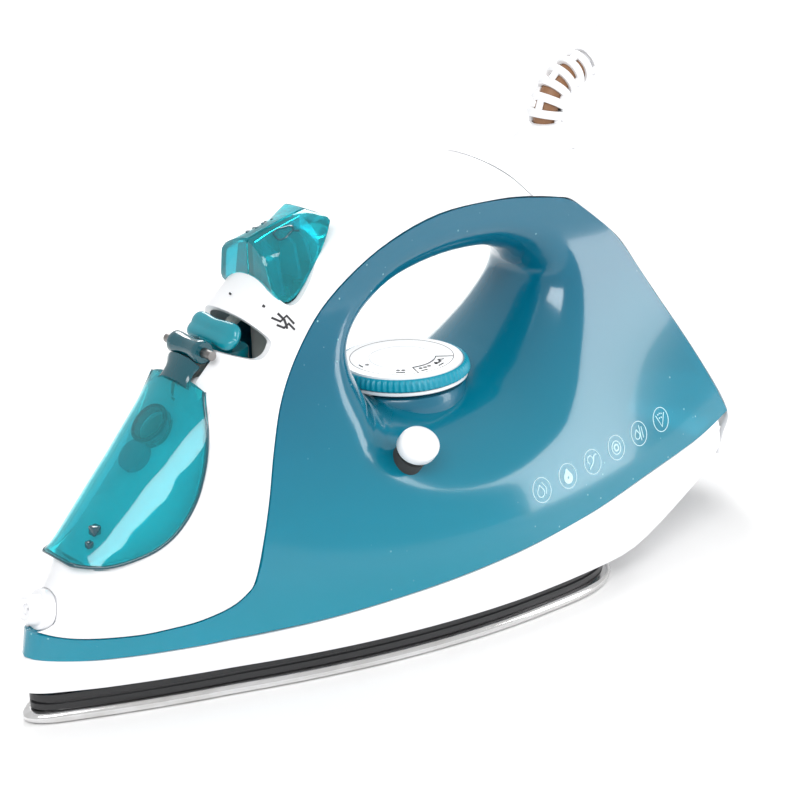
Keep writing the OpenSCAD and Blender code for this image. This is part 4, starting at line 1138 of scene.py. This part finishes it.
def make_shell_marks(shell):
    marks = []
    for x, z, r in ((-64.6, 119.6, 0.75), (-60.6, 117.4, 0.95)):
        p = side_point(shell, x, z, 0.0)
        marks.append((p, r))
    out = []
    for p, r in marks:
        out.append(sweep_tube("dot", [p + Vector((0.2 * r * math.cos(a), 0, 0.2 * r * math.sin(a)))
                                      for a in (0, 1.57, 3.14, 4.71)], r * 0.5, 8, True))
    cx, cz = -56.6, 112.6
    for pts in ([(cx - 3.4, cz + 1.6), (cx - 1.2, cz + 0.2), (cx + 1.2, cz + 1.6), (cx + 3, cz - 1.2)],
                [(cx - 2.6, cz - 0.6), (cx - 0.6, cz - 1.8), (cx + 1.2, cz - 0.8), (cx + 2.8, cz - 3)],
                [(cx - 1.2, cz + 2.6), (cx + 0.2, cz + 0.4), (cx + 0.4, cz - 2.2)]):
        out.append(sweep_tube("steam", [side_point(shell, x, z, 0.05) for x, z in pts], 0.4, 6))
    finish_piece(join("lever_marks", out), PRINT, "base", "white_shell")


# ---------------------------------------------------------------- carried CAD nodes
SLOT_MATERIALS = {
    "white_shell": WHITE, "dial_white": DIAL_WHITE, "polished_steel": STEEL, "black_band": BLACK,
    "cast_aluminium": CAST, "dark_steel": DARK_STEEL, "silicone_red": SEAL, "teal_tank": TANK, "clear_teal": CLEAR_TEAL,
    "teal_plastic": TEAL, "frosted_clear": FROSTED, "spring_steel": SPRING, "natural_nylon": NYLON,
    "piston_rubber": RUBBER, "brown_phenolic": PHENOLIC}


def dress_cad_nodes():
    for part in frame["record"]["subparts"]:
        for slot in frame["nodes"][part["node"]].material_slots:
            slot.material = SLOT_MATERIALS[part["material_slot"]]


# ---------------------------------------------------------------- floor, light and camera
def area_light(name, pos, target, size, power, color=(1, 1, 1)):
    data = bpy.data.lights.new(name, "AREA")
    data.shape = "RECTANGLE"
    data.size, data.size_y = size
    data.energy = power
    data.color = color
    obj = bpy.data.objects.new(name, data)
    obj.location = pos
    obj.rotation_euler = (Vector(target) - Vector(pos)).to_track_quat("-Z", "Y").to_euler()
    bpy.context.scene.collection.objects.link(obj)


def make_stage():
    reach = 3000
    floor = new_object("floor", [(-reach, -reach, -0.4), (reach, -reach, -0.4), (reach, reach, -0.4),
                                 (-reach, reach, -0.4)], [(0, 1, 2, 3)])
    floor.data.materials.append(FLOOR)
    world = bpy.data.worlds.new("studio")
    bpy.context.scene.world = world
    world.use_nodes = True
    world.node_tree.nodes["Background"].inputs[0].default_value = (1, 1, 1, 1)
    world.node_tree.nodes["Background"].inputs[1].default_value = 0.75
    area_light("key", (-0.9, -0.9, 1.1), (0, 0, 0.05), (0.9, 0.6), 14)
    area_light("rim", (0.7, 0.9, 0.9), (0, 0, 0.08), (0.8, 0.5), 12)
    area_light("side", (0.9, -0.9, 0.35), (0.02, 0, 0.06), (0.4, 0.9), 6)
    bpy.context.scene.view_settings.view_transform = "Standard"


make_camera()
make_soleplate()
make_heater_cover()
make_skirt()
TANK_OBJ = make_tank()
make_tank_liner()
SHELL_OBJ = make_top_shell()
make_rear_cover()
make_door()
make_fill_pan()
make_lever()
FAR_BUTTON = make_button("spray_button_cap", 1, -0.4, 13, "spray_button", "spray_button")
NEAR_BUTTON = make_button("burst_button_cap", -1, 0.9, 8.5, "burst_button", "burst_button")
make_button_marks(NEAR_BUTTON, FAR_BUTTON)
make_dial()
make_dial_seat()
make_clean_button()
make_nozzle()
make_guard()
make_pictograms(TANK_OBJ)
make_shell_marks(SHELL_OBJ)
dress_cad_nodes()
make_stage()
